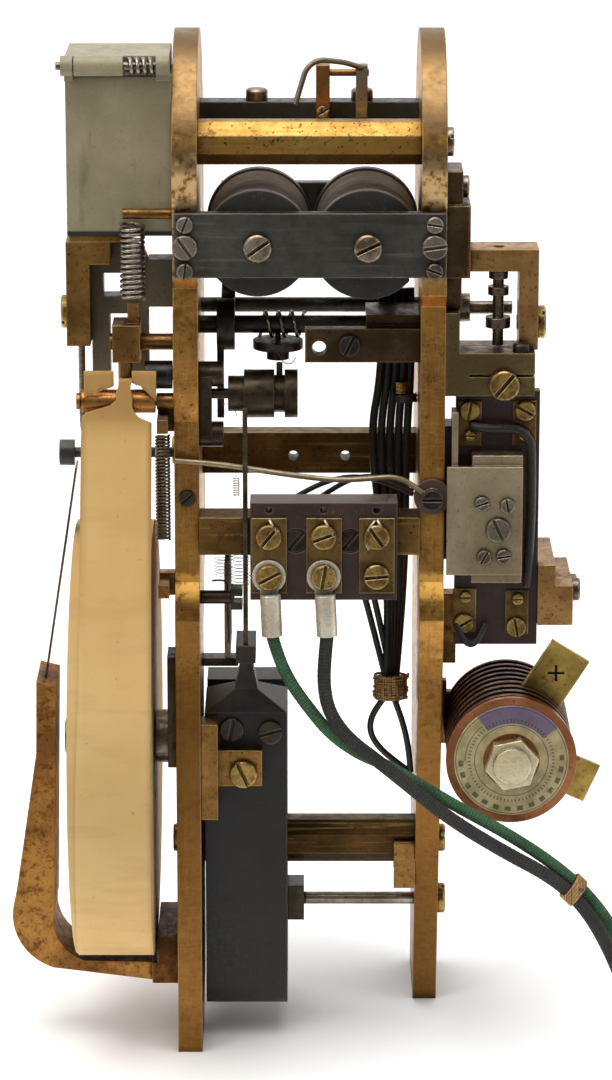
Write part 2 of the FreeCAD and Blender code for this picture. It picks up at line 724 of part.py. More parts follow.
def moving_coil():
    """The thin rectangular coil frame on its upright spindle."""
    x, y = COIL_PIVOT
    outer = box(x - 0.9, x + 0.9, y - 11, y + 11, 117.4, 146.0)
    inner = box(x - 2, x + 2, y - 9.6, y + 9.6, 118.8, 144.6)
    return join([outer.cut(inner), rod_z(113.0, 150.4, x, y, 0.7)])


def coil_bearings():
    """The two arms on the left plate that the coil's spindle turns in."""
    x, y = COIL_PIVOT
    arms = []
    for z in (112.4, 148.4):
        arm = box(LEFT_IN, x + 3.0, y - 3, y + 3, z, z + 2.4)
        arms.append(arm.cut(rod_z(z - 1, z + 4, x, y, 0.7 + RUNNING)))
    return group(arms)


STRIP_X = LEFT_IN + 13.4


STRIP_Z = (121.8, 198.0)        # foot and top of the suspension strip
NECK_LEVELS = ((7.0, 3.4, 8.0), (14.0, 2.0, 5.0))   # rise, half width and depth of the neck


def level_frame(x0, x1, y0, y1, z):
    corners = [V(x0, y0, z), V(x1, y0, z), V(x1, y1, z), V(x0, y1, z), V(x0, y0, z)]
    return Part.makePolygon(corners)


def magnet_cap():
    """The hipped saddle on the front limb, drawn up into a neck with a clamp."""
    y0 = MAGNET_Y0
    frames = [level_frame(MAGNET_X0, MAGNET_X1, y0, y0 + 26.0, MAGNET_TOP)]
    for rise, half, depth in NECK_LEVELS:
        frames.append(level_frame(STRIP_X - half, STRIP_X + half, y0 + 1, y0 + 1 + depth,
                                  MAGNET_TOP + rise))
    saddle = Part.makeLoft(frames, True, True)
    foot, half = STRIP_Z[0], NECK_LEVELS[-1][1]
    neck = box(STRIP_X - half, STRIP_X + half, y0 + 1, y0 + 6, MAGNET_TOP + 14.0, foot + 1)
    clamp = box(STRIP_X - 2.9, STRIP_X + 2.9, -0.6, 16.0, foot, foot + 5.2)
    slot = box(STRIP_X - 0.8, STRIP_X + 0.8, 0.8, 1.4, foot - 1, foot + 6)
    return join([saddle, neck, clamp]).cut(slot)


def suspension_strip():
    return box(STRIP_X - 0.7, STRIP_X + 0.7, 0.9, 1.3, *STRIP_Z)


# ---- horseshoe magnet ---------------------------------------------------------------------
MAGNET_X0 = LEFT_IN + 1.0
MAGNET_X1 = MAGNET_X0 + MAGNET_W
MAGNET_Y0 = 10.0
MAGNET_Y1 = MAGNET_Y0 + MAGNET_D


def horseshoe_magnet():
    x = MAGNET_X0
    y0, y1, z0, z1 = MAGNET_Y0, MAGNET_Y1, MAGNET_Z, MAGNET_TOP
    r = 10.0
    k = r * (1 - math.sqrt(0.5))
    inner_r = (MAGNET_D - 2 * MAGNET_LIMB) / 2
    bend = z0 + MAGNET_LIMB + inner_r
    mid = (y0 + y1) / 2
    steps = [yz(x, y1 - r, z0), (yz(x, y1 - k, z0 + k), yz(x, y1, z0 + r)), yz(x, y1, z1),
             yz(x, y1 - MAGNET_LIMB, z1), yz(x, y1 - MAGNET_LIMB, bend),
             (yz(x, mid, bend - inner_r), yz(x, y0 + MAGNET_LIMB, bend)),
             yz(x, y0 + MAGNET_LIMB, z1), yz(x, y0, z1), yz(x, y0, z0 + r),
             (yz(x, y0 + k, z0 + k), yz(x, y0 + r, z0))]
    body = slab(outline(yz(x, y0 + r, z0), steps), V(MAGNET_W, 0, 0))
    return cut(body, MAGNET_HOLES)


def magnet_bracket():
    """The brass angle on the left plate whose arm crosses the magnet's front."""
    post = box(LEFT_IN, LEFT_IN + 5.0, 1.0, 10.0, 73.0, 102.4)
    arm = box(LEFT_IN, LEFT_IN + 18.0, 5.6, 10.0, 82.0, 93.0)
    return cut(join([post, arm]), MAGNET_HOLES)


# ---- terminal block -----------------------------------------------------------------------
BLOCK_X0 = MIDDLE - 17.1
BLOCK_X1 = BLOCK_X0 + BLOCK_W
BLOCK_Y1 = MID_BAR[0]
BLOCK_Y0 = BLOCK_Y1 - BLOCK_T
TAB_T = 0.8
TERMINALS = [BLOCK_X0 + 5.4, BLOCK_X0 + 21.2, BLOCK_X0 + 36.4]
TERMINAL_Z = [BLOCK_Z + 19.2, BLOCK_Z + 7.4]
LUG_T = 0.9


def terminal_block():
    block = box(BLOCK_X0, BLOCK_X1, BLOCK_Y0, BLOCK_Y1, BLOCK_Z, BLOCK_Z + BLOCK_H)
    return cut(block, TERMINAL_HOLES + BLOCK_HOLES + BLOCK_SINKS + WIRE_HOLES)


def terminal_tabs():
    tabs = []
    for x in TERMINALS:
        tab = box(x - 5.0, x + 5.2, BLOCK_Y0 - TAB_T, BLOCK_Y0, BLOCK_Z + 2.2, BLOCK_Z + 24.6)
        tabs.append(tab)
    return cut(group(tabs), TERMINAL_HOLES)


def lead_lugs():
    """A ring lug under each of the first two lower screws, with its crimped barrel."""
    lugs = []
    for x, foot_x in zip(TERMINALS[0:2], (-9.8, 6.1)):
        y1 = BLOCK_Y0 - TAB_T
        ring = rod_y(y1 - LUG_T, y1, x, TERMINAL_Z[1], 4.9)
        foot = V(foot_x, -10.4, 133.3)
        neck = V(x + 0.4, -10.4, TERMINAL_Z[1] - 5.0)
        barrel = turned(Part.makeCylinder(3.0, neck.distanceToPoint(foot)), foot, neck - foot)
        tongue = box(x - 2.6, x + 2.6, y1 - LUG_T, y1, TERMINAL_Z[1] - 8.0, TERMINAL_Z[1])
        lugs.append(join([ring, tongue, barrel]))
    block = box(BLOCK_X0, BLOCK_X1, BLOCK_Y0 - TAB_T, BLOCK_Y1, BLOCK_Z, BLOCK_Z + BLOCK_H)
    return cut(group(lugs), TERMINAL_HOLES + [block])


# ---- free leads ---------------------------------------------------------------------------
COIL_TURNS = 3
GREEN_COIL = (128.0, 42.0, 14.6, 1)      # x, y, inner radius of the turns' middle, way round
BLACK_COIL = (134.0, -52.0, 16.4, -1)
GREEN_ROUTE = [
    (-9.8, -10.4, 133.3), (-8.1, -11.0, 127.0), (-4.6, -12.0, 119.6), (0.3, -12.7, 112.6),
    (6.8, -13.2, 104.4), (14.8, -13.3, 98.4), (22.4, -13.2, 95.2), (30.4, -13.4, 90.6),
    (43.0, -14.0, 82.8), (59.5, -14.6, 73.8), (74.6, -15.0, 63.4), (84.2, -15.3, 53.8),
    (91.4, -14.2, 42.6), (96.2, -10.6, 29.6), (99.4, -4.0, 17.6), (101.2, 5.2, 8.6),
    (102.2, 16.4, 3.2), (102.6, 29.0, 1.9), (102.6, 42.0, GREEN_R)]
BLACK_ROUTE = [
    (6.1, -10.4, 133.3), (5.4, -11.2, 126.4), (5.1, -12.8, 119.0), (6.6, -15.0, 111.4),
    (12.0, -17.4, 104.2), (21.2, -18.6, 97.4), (30.3, -18.2, 89.6), (41.4, -17.6, 80.0),
    (56.6, -17.6, 70.2), (72.65, -17.85, 61.45), (82.25, -18.15, 51.85), (89.6, -19.2, 38.6),
    (94.6, -21.0, 25.5), (98.6, -24.4, 14.2), (102.0, -30.6, 5.8), (104.6, -40.0, 2.4),
    (105.6, -52.0, BLACK_R)]


def coil_solid(place, radius):
    """The outer shape of a flat coil of turns a diameter apart, lying on the bench."""
    x, y, inner, _ = place
    outer = inner + COIL_TURNS * 2 * radius
    disc = rod_z(0, 2 * radius, x, y, outer + radius)
    return disc.cut(rod_z(-1, 2 * radius + 1, x, y, inner - radius - 0.2))


def far_lugs():
    """The ring lugs at the leads' far ends, inside their coils."""
    lugs = []
    for (x, y, inner, way), radius in ((GREEN_COIL, GREEN_R), (BLACK_COIL, BLACK_R)):
        start = V(x - inner, y, radius)
        end = V(x - inner + 2.6, y + way * 8.5, radius)
        barrel = turned(Part.makeCylinder(radius + 0.9, start.distanceToPoint(end)), start,
                        end - start)
        eye_x = end.x + 3.4
        eye_y = end.y + way * 3.0
        eye = rod_z(radius - 0.5, radius + 0.5, eye_x, eye_y, 4.2)
        lugs.append(join([barrel, eye]).cut(rod_z(-1, 8, eye_x, eye_y, 2.1)))
    return cut(group(lugs), [box(0, 200, -200, 200, -5, 0)])


TIE_LENGTH = 5.0
TIE_RUN = 10                      # the green run that the binding sits on


def twine_tie():
    """The twine binding, an oval sleeve round both leads where they run side by side."""
    green = [V(*GREEN_ROUTE[i]) for i in (TIE_RUN, TIE_RUN + 1)]
    black = [V(*BLACK_ROUTE[i]) for i in (TIE_RUN - 1, TIE_RUN)]
    way = (green[1] - green[0]).normalize()
    middles = [(ends[0] + ends[1]) * 0.5 for ends in (green, black)]
    across = middles[1] - middles[0]
    apart = across.Length
    side = across.normalize()
    third = way.cross(side)
    start = (middles[0] + middles[1]) * 0.5 - way * (TIE_LENGTH / 2)
    shells = []
    for r in (BLACK_R + 0.9, BLACK_R + 0.15):
        ends = [turned(Part.makeCylinder(r, TIE_LENGTH), start + side * offset, way)
                for offset in (-apart / 2, apart / 2)]
        web = Part.makeBox(TIE_LENGTH, apart, 2 * r, V(0, -apart / 2, -r))
        web.Placement = FreeCAD.Placement(start, FreeCAD.Rotation(way, side, third, "XYZ"))
        shells.append(join(ends + [web]))
    return shells[0].cut(shells[1])


# ---- wire lever ---------------------------------------------------------------------------
def wire_lever():
    """The nickel wire that reaches across the front from the washer in the right plate."""
    z, x = WIRE_PIVOT
    eye = rod_y(2.0, 3.5, x, z, 3.1)
    wire = bent([(x - 1.9, 2.75, z + 1.0), (x - 9.5, 2.75, z + 6.6), (x - 27.0, 2.75, z + 5.2),
                 (x - 41.0, 2.75, z + 6.9), (x - 62.0, 2.75, z + 10.2),
                 (x - 74.6, 2.75, z + 11.2)], 0.8)
    return join([eye, wire]).cut(rod_y(1, 4, x, z, 1.5 + RUNNING))


def fibre_washer():
    z, x = WIRE_PIVOT
    return rod_y(3.8, RECESS, x, z, 5.3).cut(rod_y(3, 6, x, z, 1.5))


def wire_pivot_screw():
    z, x = WIRE_PIVOT
    head = rod_y(-0.2, 1.8, x, z, 3.0)
    slot = box(x - 4, x + 4, -1, 0.7, z - 0.4, z + 0.4)
    return join([head.cut(slot), rod_y(1.8, RECESS + 6, x, z, 1.5)])


# ---- harness ------------------------------------------------------------------------------
HARNESS_R = 1.6


def harness_wires():
    """Black wires from the coils down behind the terminal block to the right plate."""
    routes = [
        [(21, 37, 228), (18, 36, 214), (16, 34, 198), (16.4, 33, 184), (19.5, 32, 170),
         (18.5, 30, 152), (15.4, 29, 134), (16.8, 28, 118), (20.4, 28, 104)],
        [(25, 37, 228), (22.4, 36, 214), (20, 34, 198), (20.2, 33, 184), (23, 32, 170),
         (23.2, 30, 152), (20.6, 29, 134), (20.6, 28, 118), (23.8, 28, 104)],
        [(28.5, 34, 228), (27, 34, 214), (25, 32, 198), (25.2, 32, 184), (27.4, 31, 168),
         (28, 30, 150), (27, 29, 134), (25.2, 28, 118), (27.2, 28, 104)],
        [(29.5, 40, 228), (29.8, 40, 212), (28.8, 39, 198), (30.2, 38, 184), (30.6, 37, 168),
         (30.8, 36, 150), (30.6, 34, 136), (28.9, 32, 121), (30.4, 32, 106)]]
    tubes = []
    for route in routes:
        tubes.append(bent(route, HARNESS_R))
    return group(tubes)


def p_clip():
    """The brass clip round the lower pillar's right end, and its tail."""
    y, z, flats = LOW_PILLAR
    x0 = RIGHT_IN - 6.4
    corner = flats / 2 / math.cos(math.pi / 8)
    ring = rod_x(x0, RIGHT_IN, y, z, corner + 1.8).cut(rod_x(x0, RIGHT_IN, y, z, corner))
    ring = ring.cut(box(x0, RIGHT_IN, y - 20, y + 20, z + 1.5, z + 20))
    tail = box(x0, RIGHT_IN, y - 9.6, y - 7.2, z - 13.0, z + 1.0)
    return join([ring, tail.cut(rod_x(x0, RIGHT_IN, y, z, corner))])


# ---- right-hand contact works -------------------------------------------------------------
def side_blocks():
    """The stepped brass blocks on the right plate that the contact arm is screwed to."""
    upper = box(RIGHT_OUT, RIGHT_OUT + 4.8, 10.0, 26.0, 255.6, 265.2)
    main = box(RIGHT_OUT, RIGHT_OUT + 7.0, 8.0, 30.0, 234.6, 255.6)
    lower = box(RIGHT_OUT, RIGHT_OUT + 4.6, 10.0, 21.5, 225.4, 234.6)
    return cut(join([upper, main, lower]), SIDE_HOLES)


def hook_bracket():
    """The upside-down L that holds the contact screw over the clamp block."""
    x0 = RIGHT_OUT + 7.0
    x1 = RIGHT_OUT + 26.8
    arm = box(x0, x1, 10.0, 22.0, 236.2, 242.6)
    leg = box(x1 - 5.6, x1, 10.0, 22.0, CLAMP_TOP, 236.2)
    return cut(join([arm, leg]), [rod_z(230, 250, CONTACT_X, 15.0, 1.6 + RUNNING)] + HOOK_HOLES)


CONTACT_X = RIGHT_OUT + 15.4
CLAMP_TOP = 213.2


def contact_screw():
    """The adjusting screw with a milled collar, its point just above the clamp block."""
    return join([rod_z(CLAMP_TOP + 0.5, 242.0, CONTACT_X, 15.0, 1.6),
                 rod_z(233.4, 235.8, CONTACT_X, 15.0, 2.8),
                 rod_z(219.0, 222.0, CONTACT_X, 15.0, 3.6),
                 rod_z(228.6, 231.0, CONTACT_X, 15.0, 3.0)])


def contact_shaft():
    """The dark cross shaft behind the contact screw, with its bush on the plate."""
    return join([rod_x(RIGHT_OUT, RIGHT_OUT + 20.0, 26.0, 222.4, 1.9),
                 rod_x(RIGHT_OUT, RIGHT_OUT + 7.6, 26.0, 222.4, 4.2)])


def clamp_block():
    """The olive brass block with its clamping slit."""
    x1 = RIGHT_OUT + 25.8
    body = box(RIGHT_OUT + 4.0, x1, 5.0, 23.0, 200.6, CLAMP_TOP)
    wing = box(RIGHT_OUT, RIGHT_OUT + 4.0, 5.0, 21.5, 200.6, 225.0)
    slit = box(RIGHT_OUT + 6.8, x1 + 1, 4.0, 24.0, 206.2, 207.0)
    return cut(join([body, wing]), [slit] + CLAMP_HOLES)


PANEL_Y0 = 12.0
PANEL_Y1 = 16.0
PANEL_X0 = RIGHT_OUT + 3.4
PANEL_X1 = RIGHT_OUT + 27.8


def bakelite_panel():
    panel = box(PANEL_X0, PANEL_X1, PANEL_Y0, PANEL_Y1, 124.0, 200.6)
    stand = box(RIGHT_OUT, PANEL_X0, PANEL_Y0, PANEL_Y0 + 10, 150.0, 190.0)
    return cut(join([panel, stand]), PANEL_HOLES)


def panel_tabs():
    """Four small lugs, two over the nickel plate and two under it."""
    tabs = []
    for x, z, dx in ((RIGHT_OUT + 7.4, 191.0, 0), (RIGHT_OUT + 23.3, 191.2, 0),
                     (RIGHT_OUT + 6.4, 134.6, 0), (RIGHT_OUT + 21.8, 134.0, 0)):
        tab = box(x - 3.4, x + 3.4, PANEL_Y0 - 0.8, PANEL_Y0, z - 6.6, z + 6.6)
        tabs.append(tab)
    return cut(group(tabs), PANEL_HOLES)


NICKEL_Y0 = 2.0
NICKEL_Z = (147.8, 180.2)


def nickel_plate():
    """The plated angle in front of the panel, with the sole plate that it is screwed to."""
    x0 = RIGHT_OUT + 0.6
    x1 = RIGHT_OUT + 22.6
    front = box(x0, x1, NICKEL_Y0, NICKEL_Y0 + 1.8, *NICKEL_Z)
    sole = box(x0 + 7.4, x1, NICKEL_Y0 + 1.8, PANEL_Y0, 145.0, 183.2)
    flange = box(x0 + 1.4, x0 + 3.2, NICKEL_Y0 + 1.8, PANEL_Y0 - 1, 150.0, 196.0)
    return cut(join([front, sole, flange]), NICKEL_HOLES)


def panel_cable():
    """The black jumper over the right of the nickel plate, from lug to lug."""
    x = RIGHT_OUT
    y = PANEL_Y0 - 0.8 - 1.4
    return bent([(x + 7.6, y, 190.7), (x + 12.2, y - 2.2, 189.4), (x + 18.6, y - 2.6, 188.0),
                 (x + 23.4, y - 1.6, 184.6), (x + 25.6, y - 0.6, 177.0), (x + 25.7, y - 0.4, 167.0),
                 (x + 25.4, y - 0.4, 157.0), (x + 25.4, y, 148.6), (x + 24.6, y, 142.2)], 1.3)


def side_bracket():
    """The brass angle beside the panel; its upper face is long from front to back."""
    x0 = PANEL_X1
    x1 = RIGHT_OUT + 38.2
    web = box(x0, x1, 10.0, 42.0, 130.4, 142.4)
    rib = box(x0, x0 + 5.2, 10.0, 42.0, 142.4, 148.6)
    return cut(join([web, rib]), SIDE_HOLES)


def stack_strap():
    """The copper-coloured strap on the right plate that carries the rectifier's bolt."""
    strap = box(RIGHT_OUT, RIGHT_OUT + 4.4, 24.0, 30.0, 114.6, 136.0)
    plate = box(RIGHT_OUT, RIGHT_OUT + 2.4, STACK_BACK, STACK_BACK + 3, 84.0, 104.0)
    tongue = box(RIGHT_OUT + 2.4, STACK_CX + 8, STACK_BACK, STACK_BACK + 3, 86.0, 100.4)
    bore = rod_y(STACK_BACK - 1, STACK_BACK + 4, STACK_CX, STACK_Z, 2.6)
    return group([strap, join([plate, tongue]).cut(bore)])


# ---- rectifier ----------------------------------------------------------------------------
STACK_CX = RIGHT_OUT + STACK_X
STACK_BACK = STACK_Y + STACK_DEPTH
DISC_T = 1.4
DISC_PITCH = 4.4
BOLT_R = 2.6


def stack_places():
    count = int((STACK_DEPTH - DISC_T) // DISC_PITCH)
    return [STACK_Y + i * DISC_PITCH for i in range(count + 1)]


def rectifier_discs():
    """The copper disc in front and the dark discs behind it, each a separate washer."""
    discs = []
    for place in stack_places():
        radius = STACK_R if place == STACK_Y else STACK_R - 0.5
        disc = rod_y(place, place + DISC_T, STACK_CX, STACK_Z, radius)
        discs.append(disc.cut(rod_y(place - 1, place + 3, STACK_CX, STACK_Z, BOLT_R)))
    return group(discs)


def rectifier_spacers():
    """Insulating rings between the discs and behind the last of them."""
    rings = []
    places = stack_places() + [STACK_BACK]
    for place, following in zip(places, places[1:]):
        ring = rod_y(place + DISC_T, following, STACK_CX, STACK_Z, 15.5)
        rings.append(ring.cut(rod_y(place, following + 1, STACK_CX, STACK_Z, BOLT_R)))
    return cut(group(rings), [RECTIFIER_TAB_SPACE])


def rectifier_bolt():
    """The domed hexagon nut on the through bolt."""
    corner = 8.0
    points = []
    for i in range(7):
        turn = math.radians(12 + 60 * i)
        points.append(V(STACK_CX + corner * math.cos(turn), STACK_Y, STACK_Z
                        + corner * math.sin(turn)))
    nut = slab(Part.makePolygon(points), V(0, -5.0, 0))
    dome = rod_y(STACK_Y - 6.6, STACK_Y - 5.0, STACK_CX, STACK_Z, 5.4)
    rear = rod_y(STACK_BACK + 3, STACK_BACK + 6.5, STACK_CX, STACK_Z, 5.6)
    stem = rod_y(STACK_Y, STACK_BACK + 3, STACK_CX, STACK_Z, BOLT_R)
    return join([nut, dome, stem, rear])


def tab_blank(turn, y0, length, width):
    """A solder tab that reaches out of the stack at an angle from +X."""
    tab = box(0, length, 0, 1.6, -width / 2, width / 2)
    tab = join([tab, rod_y(0, 1.6, 0, 0, 9.0)])
    tab.Placement = FreeCAD.Placement(V(STACK_CX, y0, STACK_Z), FreeCAD.Rotation(Y_AXIS, -turn))
    return tab.cut(rod_y(y0 - 1, y0 + 3, STACK_CX, STACK_Z, BOLT_R))


TAB_PLACES = [(58.0, STACK_Y + 3 * DISC_PITCH + DISC_T + 0.7, 34.0, 13.0),
              (-24.0, STACK_Y + 2 * DISC_PITCH + DISC_T + 0.7, 26.8, 12.0)]


def rectifier_tabs():
    return group([tab_blank(*place) for place in TAB_PLACES])


RECTIFIER_TAB_SPACE = group([tab_blank(*place) for place in TAB_PLACES])


# ---- screws and the holes they need -------------------------------------------------------
OUT_FRONT = V(0, -1, 0)
OUT_LEFT = V(-1, 0, 0)
OUT_RIGHT = V(1, 0, 0)
OUT_UP = V(0, 0, 1)

BRIDGE_FRONT = NOTCH_Y - BRIDGE_T
BRIDGE_PLACES = []
for side_x, spins in ((LEFT_OUT + 3.7, (68, 125, 82)), (RIGHT_OUT - 3.6, (172, 8, 160))):
    for rise, head_r, spin in ((6.5, 2.4, spins[0]), (0.0, 3.6, spins[1]), (-6.9, 2.4, spins[2])):
        BRIDGE_PLACES.append((side_x, BRIDGE_FRONT, BRIDGE_Z - 0.4 + rise, OUT_FRONT, head_r,
                              1.6, spin, 9.0))
BRIDGE_SCREWS, BRIDGE_HOLES = fixings(BRIDGE_PLACES)

CORE_PLACES = [(x, BRIDGE_FRONT, COIL_Z, OUT_FRONT, 4.0, 2.6, spin, 9.0)
               for x, spin in zip(COILS_X, (35, 25))]
CORE_SCREWS, CORE_HOLES = fixings(CORE_PLACES)

EDGE_SCREWS, EDGE_HOLES = fixings([
    (LEFT_OUT + 3.7, RECESS, 170.2, OUT_FRONT, 2.4, 1.2, 40, 6.0)])

REAR_SCREWS, REAR_HOLES = fixings([
    (MIDDLE - 15.4, 45.0, REAR_BAR[3], OUT_UP, 3.2, 3.4, 0, 6.0),
    (MIDDLE + 15.4, 45.0, REAR_BAR[3], OUT_UP, 3.2, 3.4, 0, 6.0)])
POST_SCREWS, POST_HOLES = fixings([
    (POST_X, CONTACT_AXIS[0] - 1.8, 278.4, OUT_FRONT, 1.9, 1.2, 30, 6.0)])

PILLAR_PLACES = []
for bar_y, bar_z in ((TOP_PILLAR[0], TOP_PILLAR[1]), (LOW_PILLAR[0], LOW_PILLAR[1]),
                     (54.0, 172.7)):
    PILLAR_PLACES.append((LEFT_OUT, bar_y, bar_z, OUT_LEFT, 4.2, 2.2, 30, PLATE_T + 6))
    PILLAR_PLACES.append((RIGHT_OUT, bar_y, bar_z, OUT_RIGHT, 4.2, 2.2, 60, PLATE_T + 6))
PILLAR_PLACES = [p for p in PILLAR_PLACES if not (p[3] == OUT_LEFT and p[2] > BOX_Z)]
PILLAR_PLACES.append((RIGHT_OUT, 40.0, 34.6, OUT_RIGHT, 4.6, 2.4, 20, PLATE_T - 0.1))
PILLAR_SCREWS, PILLAR_HOLES = fixings(PILLAR_PLACES)
LEFT_SIDE_HOLES = PILLAR_HOLES + [
    rod_x(LEFT_OUT - 1, LEFT_OUT + 5, *FEED_AXIS, 1.6 + RUNNING),
    rod_x(LEFT_OUT - 1, LEFT_OUT + 5, *BRAKE_AXIS, 1.5 + RUNNING)]

SIDE_PLACES = [
    (RIGHT_OUT + 4.8, 18.0, 259.6, OUT_RIGHT, 3.2, 2.0, 10, 3.0),
    (RIGHT_OUT + 38.2, 20.0, 138.6, OUT_RIGHT, 3.4, 2.6, 0, 5.0),
    (RIGHT_OUT + 38.2, 34.0, 136.0, OUT_RIGHT, 3.4, 2.6, 40, 5.0)]
SIDE_SCREWS, SIDE_HOLES = fixings(SIDE_PLACES)

ARM_X = BOX_X0 - 0.6
ARM_SCREWS, ARM_HOLES = fixings([(ARM_X, 22.0, 222.0, OUT_LEFT, 4.9, 2.2, 60, 12.0)])

FINGER_SCREWS, FINGER_HOLES = fixings([
    (MIDDLE + 11.5, 8.0, 215.0, OUT_FRONT, 3.2, 1.8, 65, 5.0)])

MAGNET_PLACES = [
    (LEFT_IN + 8.9, MAGNET_Y0, 98.2, OUT_FRONT, 3.6, 1.2, 80, 5.0),
    (LEFT_IN + 20.4, MAGNET_Y0, 97.4, OUT_FRONT, 3.6, 1.2, 15, 5.0),
    (LEFT_IN + 12.4, 5.6, 86.0, OUT_FRONT, 4.1, 2.2, 115, 8.0)]
MAGNET_SCREWS, MAGNET_HOLES = fixings(MAGNET_PLACES)

TERMINAL_PLACES = []
for terminal_x, upper_spin, lower_spin in zip(TERMINALS, (50, 20, 125), (28, 80, 5)):
    for terminal_z, spin in zip(TERMINAL_Z, (upper_spin, lower_spin)):
        lugged = terminal_z == TERMINAL_Z[1] and terminal_x != TERMINALS[2]
        seat = BLOCK_Y0 - TAB_T - (LUG_T if lugged else 0)
        TERMINAL_PLACES.append((terminal_x, seat, terminal_z, OUT_FRONT, 3.7, 2.0, spin, 6.0))
TERMINAL_SCREWS, TERMINAL_HOLES = fixings(TERMINAL_PLACES)

BLOCK_PLACES = [((TERMINALS[i] + TERMINALS[i + 1]) / 2, BLOCK_Y0 + 1.2, TERMINAL_Z[0] - 1.6,
                 OUT_FRONT, 3.5, 1.1, 50, 14.0) for i in range(2)]
BLOCK_SCREWS, BLOCK_HOLES = fixings(BLOCK_PLACES)
BLOCK_SINKS = [rod_y(BLOCK_Y0 - 1, BLOCK_Y0 + 1.2, p[0], p[2], 3.5 + CLOSE)
               for p in BLOCK_PLACES]
WIRE_HOLES = [rod_y(BLOCK_Y0 - 1, BLOCK_Y1 + 1, x, BLOCK_Z + BLOCK_H - 2.2, 1.0)
              for x in TERMINALS]

HOOK_SCREWS, HOOK_HOLES = fixings([
    (RIGHT_OUT + 26.8, 16.0, 220.2, OUT_RIGHT, 4.8, 2.4, 45, 6.0)])
CLAMP_SCREWS, CLAMP_HOLES = fixings([
    (RIGHT_OUT + 16.9, 5.0, 204.0, OUT_FRONT, 4.4, 2.4, 50, 8.0)])
CLAMP_TOP_SCREWS, CLAMP_TOP_HOLES = fixings([
    (RIGHT_OUT + 21.8, 7.5, CLAMP_TOP, OUT_UP, 2.4, 2.6, 20, 10.0)])
CLAMP_HOLES = CLAMP_HOLES + CLAMP_TOP_HOLES

PANEL_PLACES = []
for dx, z, head_r, spin in ((7.3, 195.0, 2.9, 80), (7.5, 187.6, 1.7, 0), (23.5, 195.0, 2.9, 150),
                            (23.3, 187.8, 1.7, 0), (6.6, 138.8, 1.7, 0), (6.2, 130.8, 2.9, 30),
                            (22.0, 138.2, 1.7, 0), (21.6, 129.6, 2.9, 100)):
    PANEL_PLACES.append((RIGHT_OUT + dx, PANEL_Y0 - 0.8, z, OUT_FRONT, head_r, 1.6, spin, 4.0))
PANEL_SCREWS, PANEL_HOLES = fixings(PANEL_PLACES)

NICKEL_PLACES = []
for dx, z, head_r, spin in ((10.8, 169.4, 2.2, 20), (18.2, 168.8, 2.2, 100),
                            (15.6, 161.5, 3.6, 115), (11.6, 153.4, 2.2, 60),
                            (17.2, 153.6, 2.2, 10)):
    NICKEL_PLACES.append((RIGHT_OUT + dx, NICKEL_Y0, z, OUT_FRONT, head_r, 1.5, spin, 6.0))
NICKEL_SCREWS, NICKEL_HOLES = fixings(NICKEL_PLACES)


def steel_screws():
    return group(BRIDGE_SCREWS + REAR_SCREWS + NICKEL_SCREWS + SIDE_SCREWS)


def brass_screws():
    return group(CORE_SCREWS + PILLAR_SCREWS + POST_SCREWS + TERMINAL_SCREWS + HOOK_SCREWS
                 + CLAMP_SCREWS + PANEL_SCREWS + ARM_SCREWS + MAGNET_SCREWS[2:])


def dark_screws():
    return group(EDGE_SCREWS + MAGNET_SCREWS[:2] + BLOCK_SCREWS + CLAMP_TOP_SCREWS
                 + FINGER_SCREWS + [wire_pivot_screw()])


# ---- pieces of one kind that share a node, each still a solid of its own ------------------
def octagon_pillars():
    return group([top_pillar(), lower_pillar()])


def square_crossbars():
    return group([mid_pillar(), drilled_crossbar()])


def steel_rods():
    """Tie rod, cross shaft, roll spindle, lid hinge pin and the wire guide."""
    return group([tie_rod(), contact_shaft(), roll_spindle(), lid_hinge_pin(), wire_guide()])


def brass_pins():
    """Spring stud, two spring posts, the tension lever's shaft and the guide roller's pin."""
    return group([spring_stud(), spring_posts(), tension_shaft(), guide_pin()])


def springs():
    return group([lid_spring(), thin_spring(), rocker_spring()])


def spring_strips():
    return group([leaf_spring(), suspension_strip()])


def left_plate_fittings():
    return group([drum_bracket(), coil_bearings(), fork_stud(), side_pads()])


def right_plate_fittings():
    return group([side_blocks(), stack_strap(), p_clip()])


def right_brackets():
    return group([hook_bracket(), side_bracket()])


def coil_ends():
    return group([coil_cheeks(), coil_shield()])


def magnet():
    return group([horseshoe_magnet(), magnet_cap()])


def roll_arm():
    return group([j_bracket(), base_block()])


def solder_tabs():
    return group([terminal_tabs(), panel_tabs()])


def rectifier_stack():
    return group([rectifier_discs(), rectifier_spacers()])


def wiring():
    return group([harness_wires(), panel_cable()])


def green_lead():
    return bent(GREEN_ROUTE, GREEN_R, "green lead")


def black_lead():
    return bent(BLACK_ROUTE, BLACK_R, "black lead")


def green_lead_coil():
    return coil_solid(GREEN_COIL, GREEN_R)


def black_lead_coil():
    return coil_solid(BLACK_COIL, BLACK_R)


NODES = [
    left_side_plate, right_side_plate, octagon_pillars, square_crossbars, rear_bar, steel_rods,
    bridge_plate, magnet_cores, coil_ends, coil_windings, armature, contact_post, contact_arm,
    ink_box, ink_box_lid, springs, box_arm, arch_bracket, brass_pins, tension_lever,
    tension_spring, feed_roller, guide_roller, paper_roll, roll_core, paper_tape, roll_arm,
    spring_strips, brake_knob, rocker, finger_bracket, left_plate_fittings, drum, moving_coil,
    magnet, magnet_bracket, terminal_block, solder_tabs, lead_lugs, wire_lever, fibre_washer,
    wiring, right_plate_fittings, right_brackets, contact_screw, clamp_block, bakelite_panel,
    nickel_plate, rectifier_stack, rectifier_bolt, rectifier_tabs, steel_screws, brass_screws,
    dark_screws, green_lead, black_lead, green_lead_coil, black_lead_coil, far_lugs, twine_tie,
]


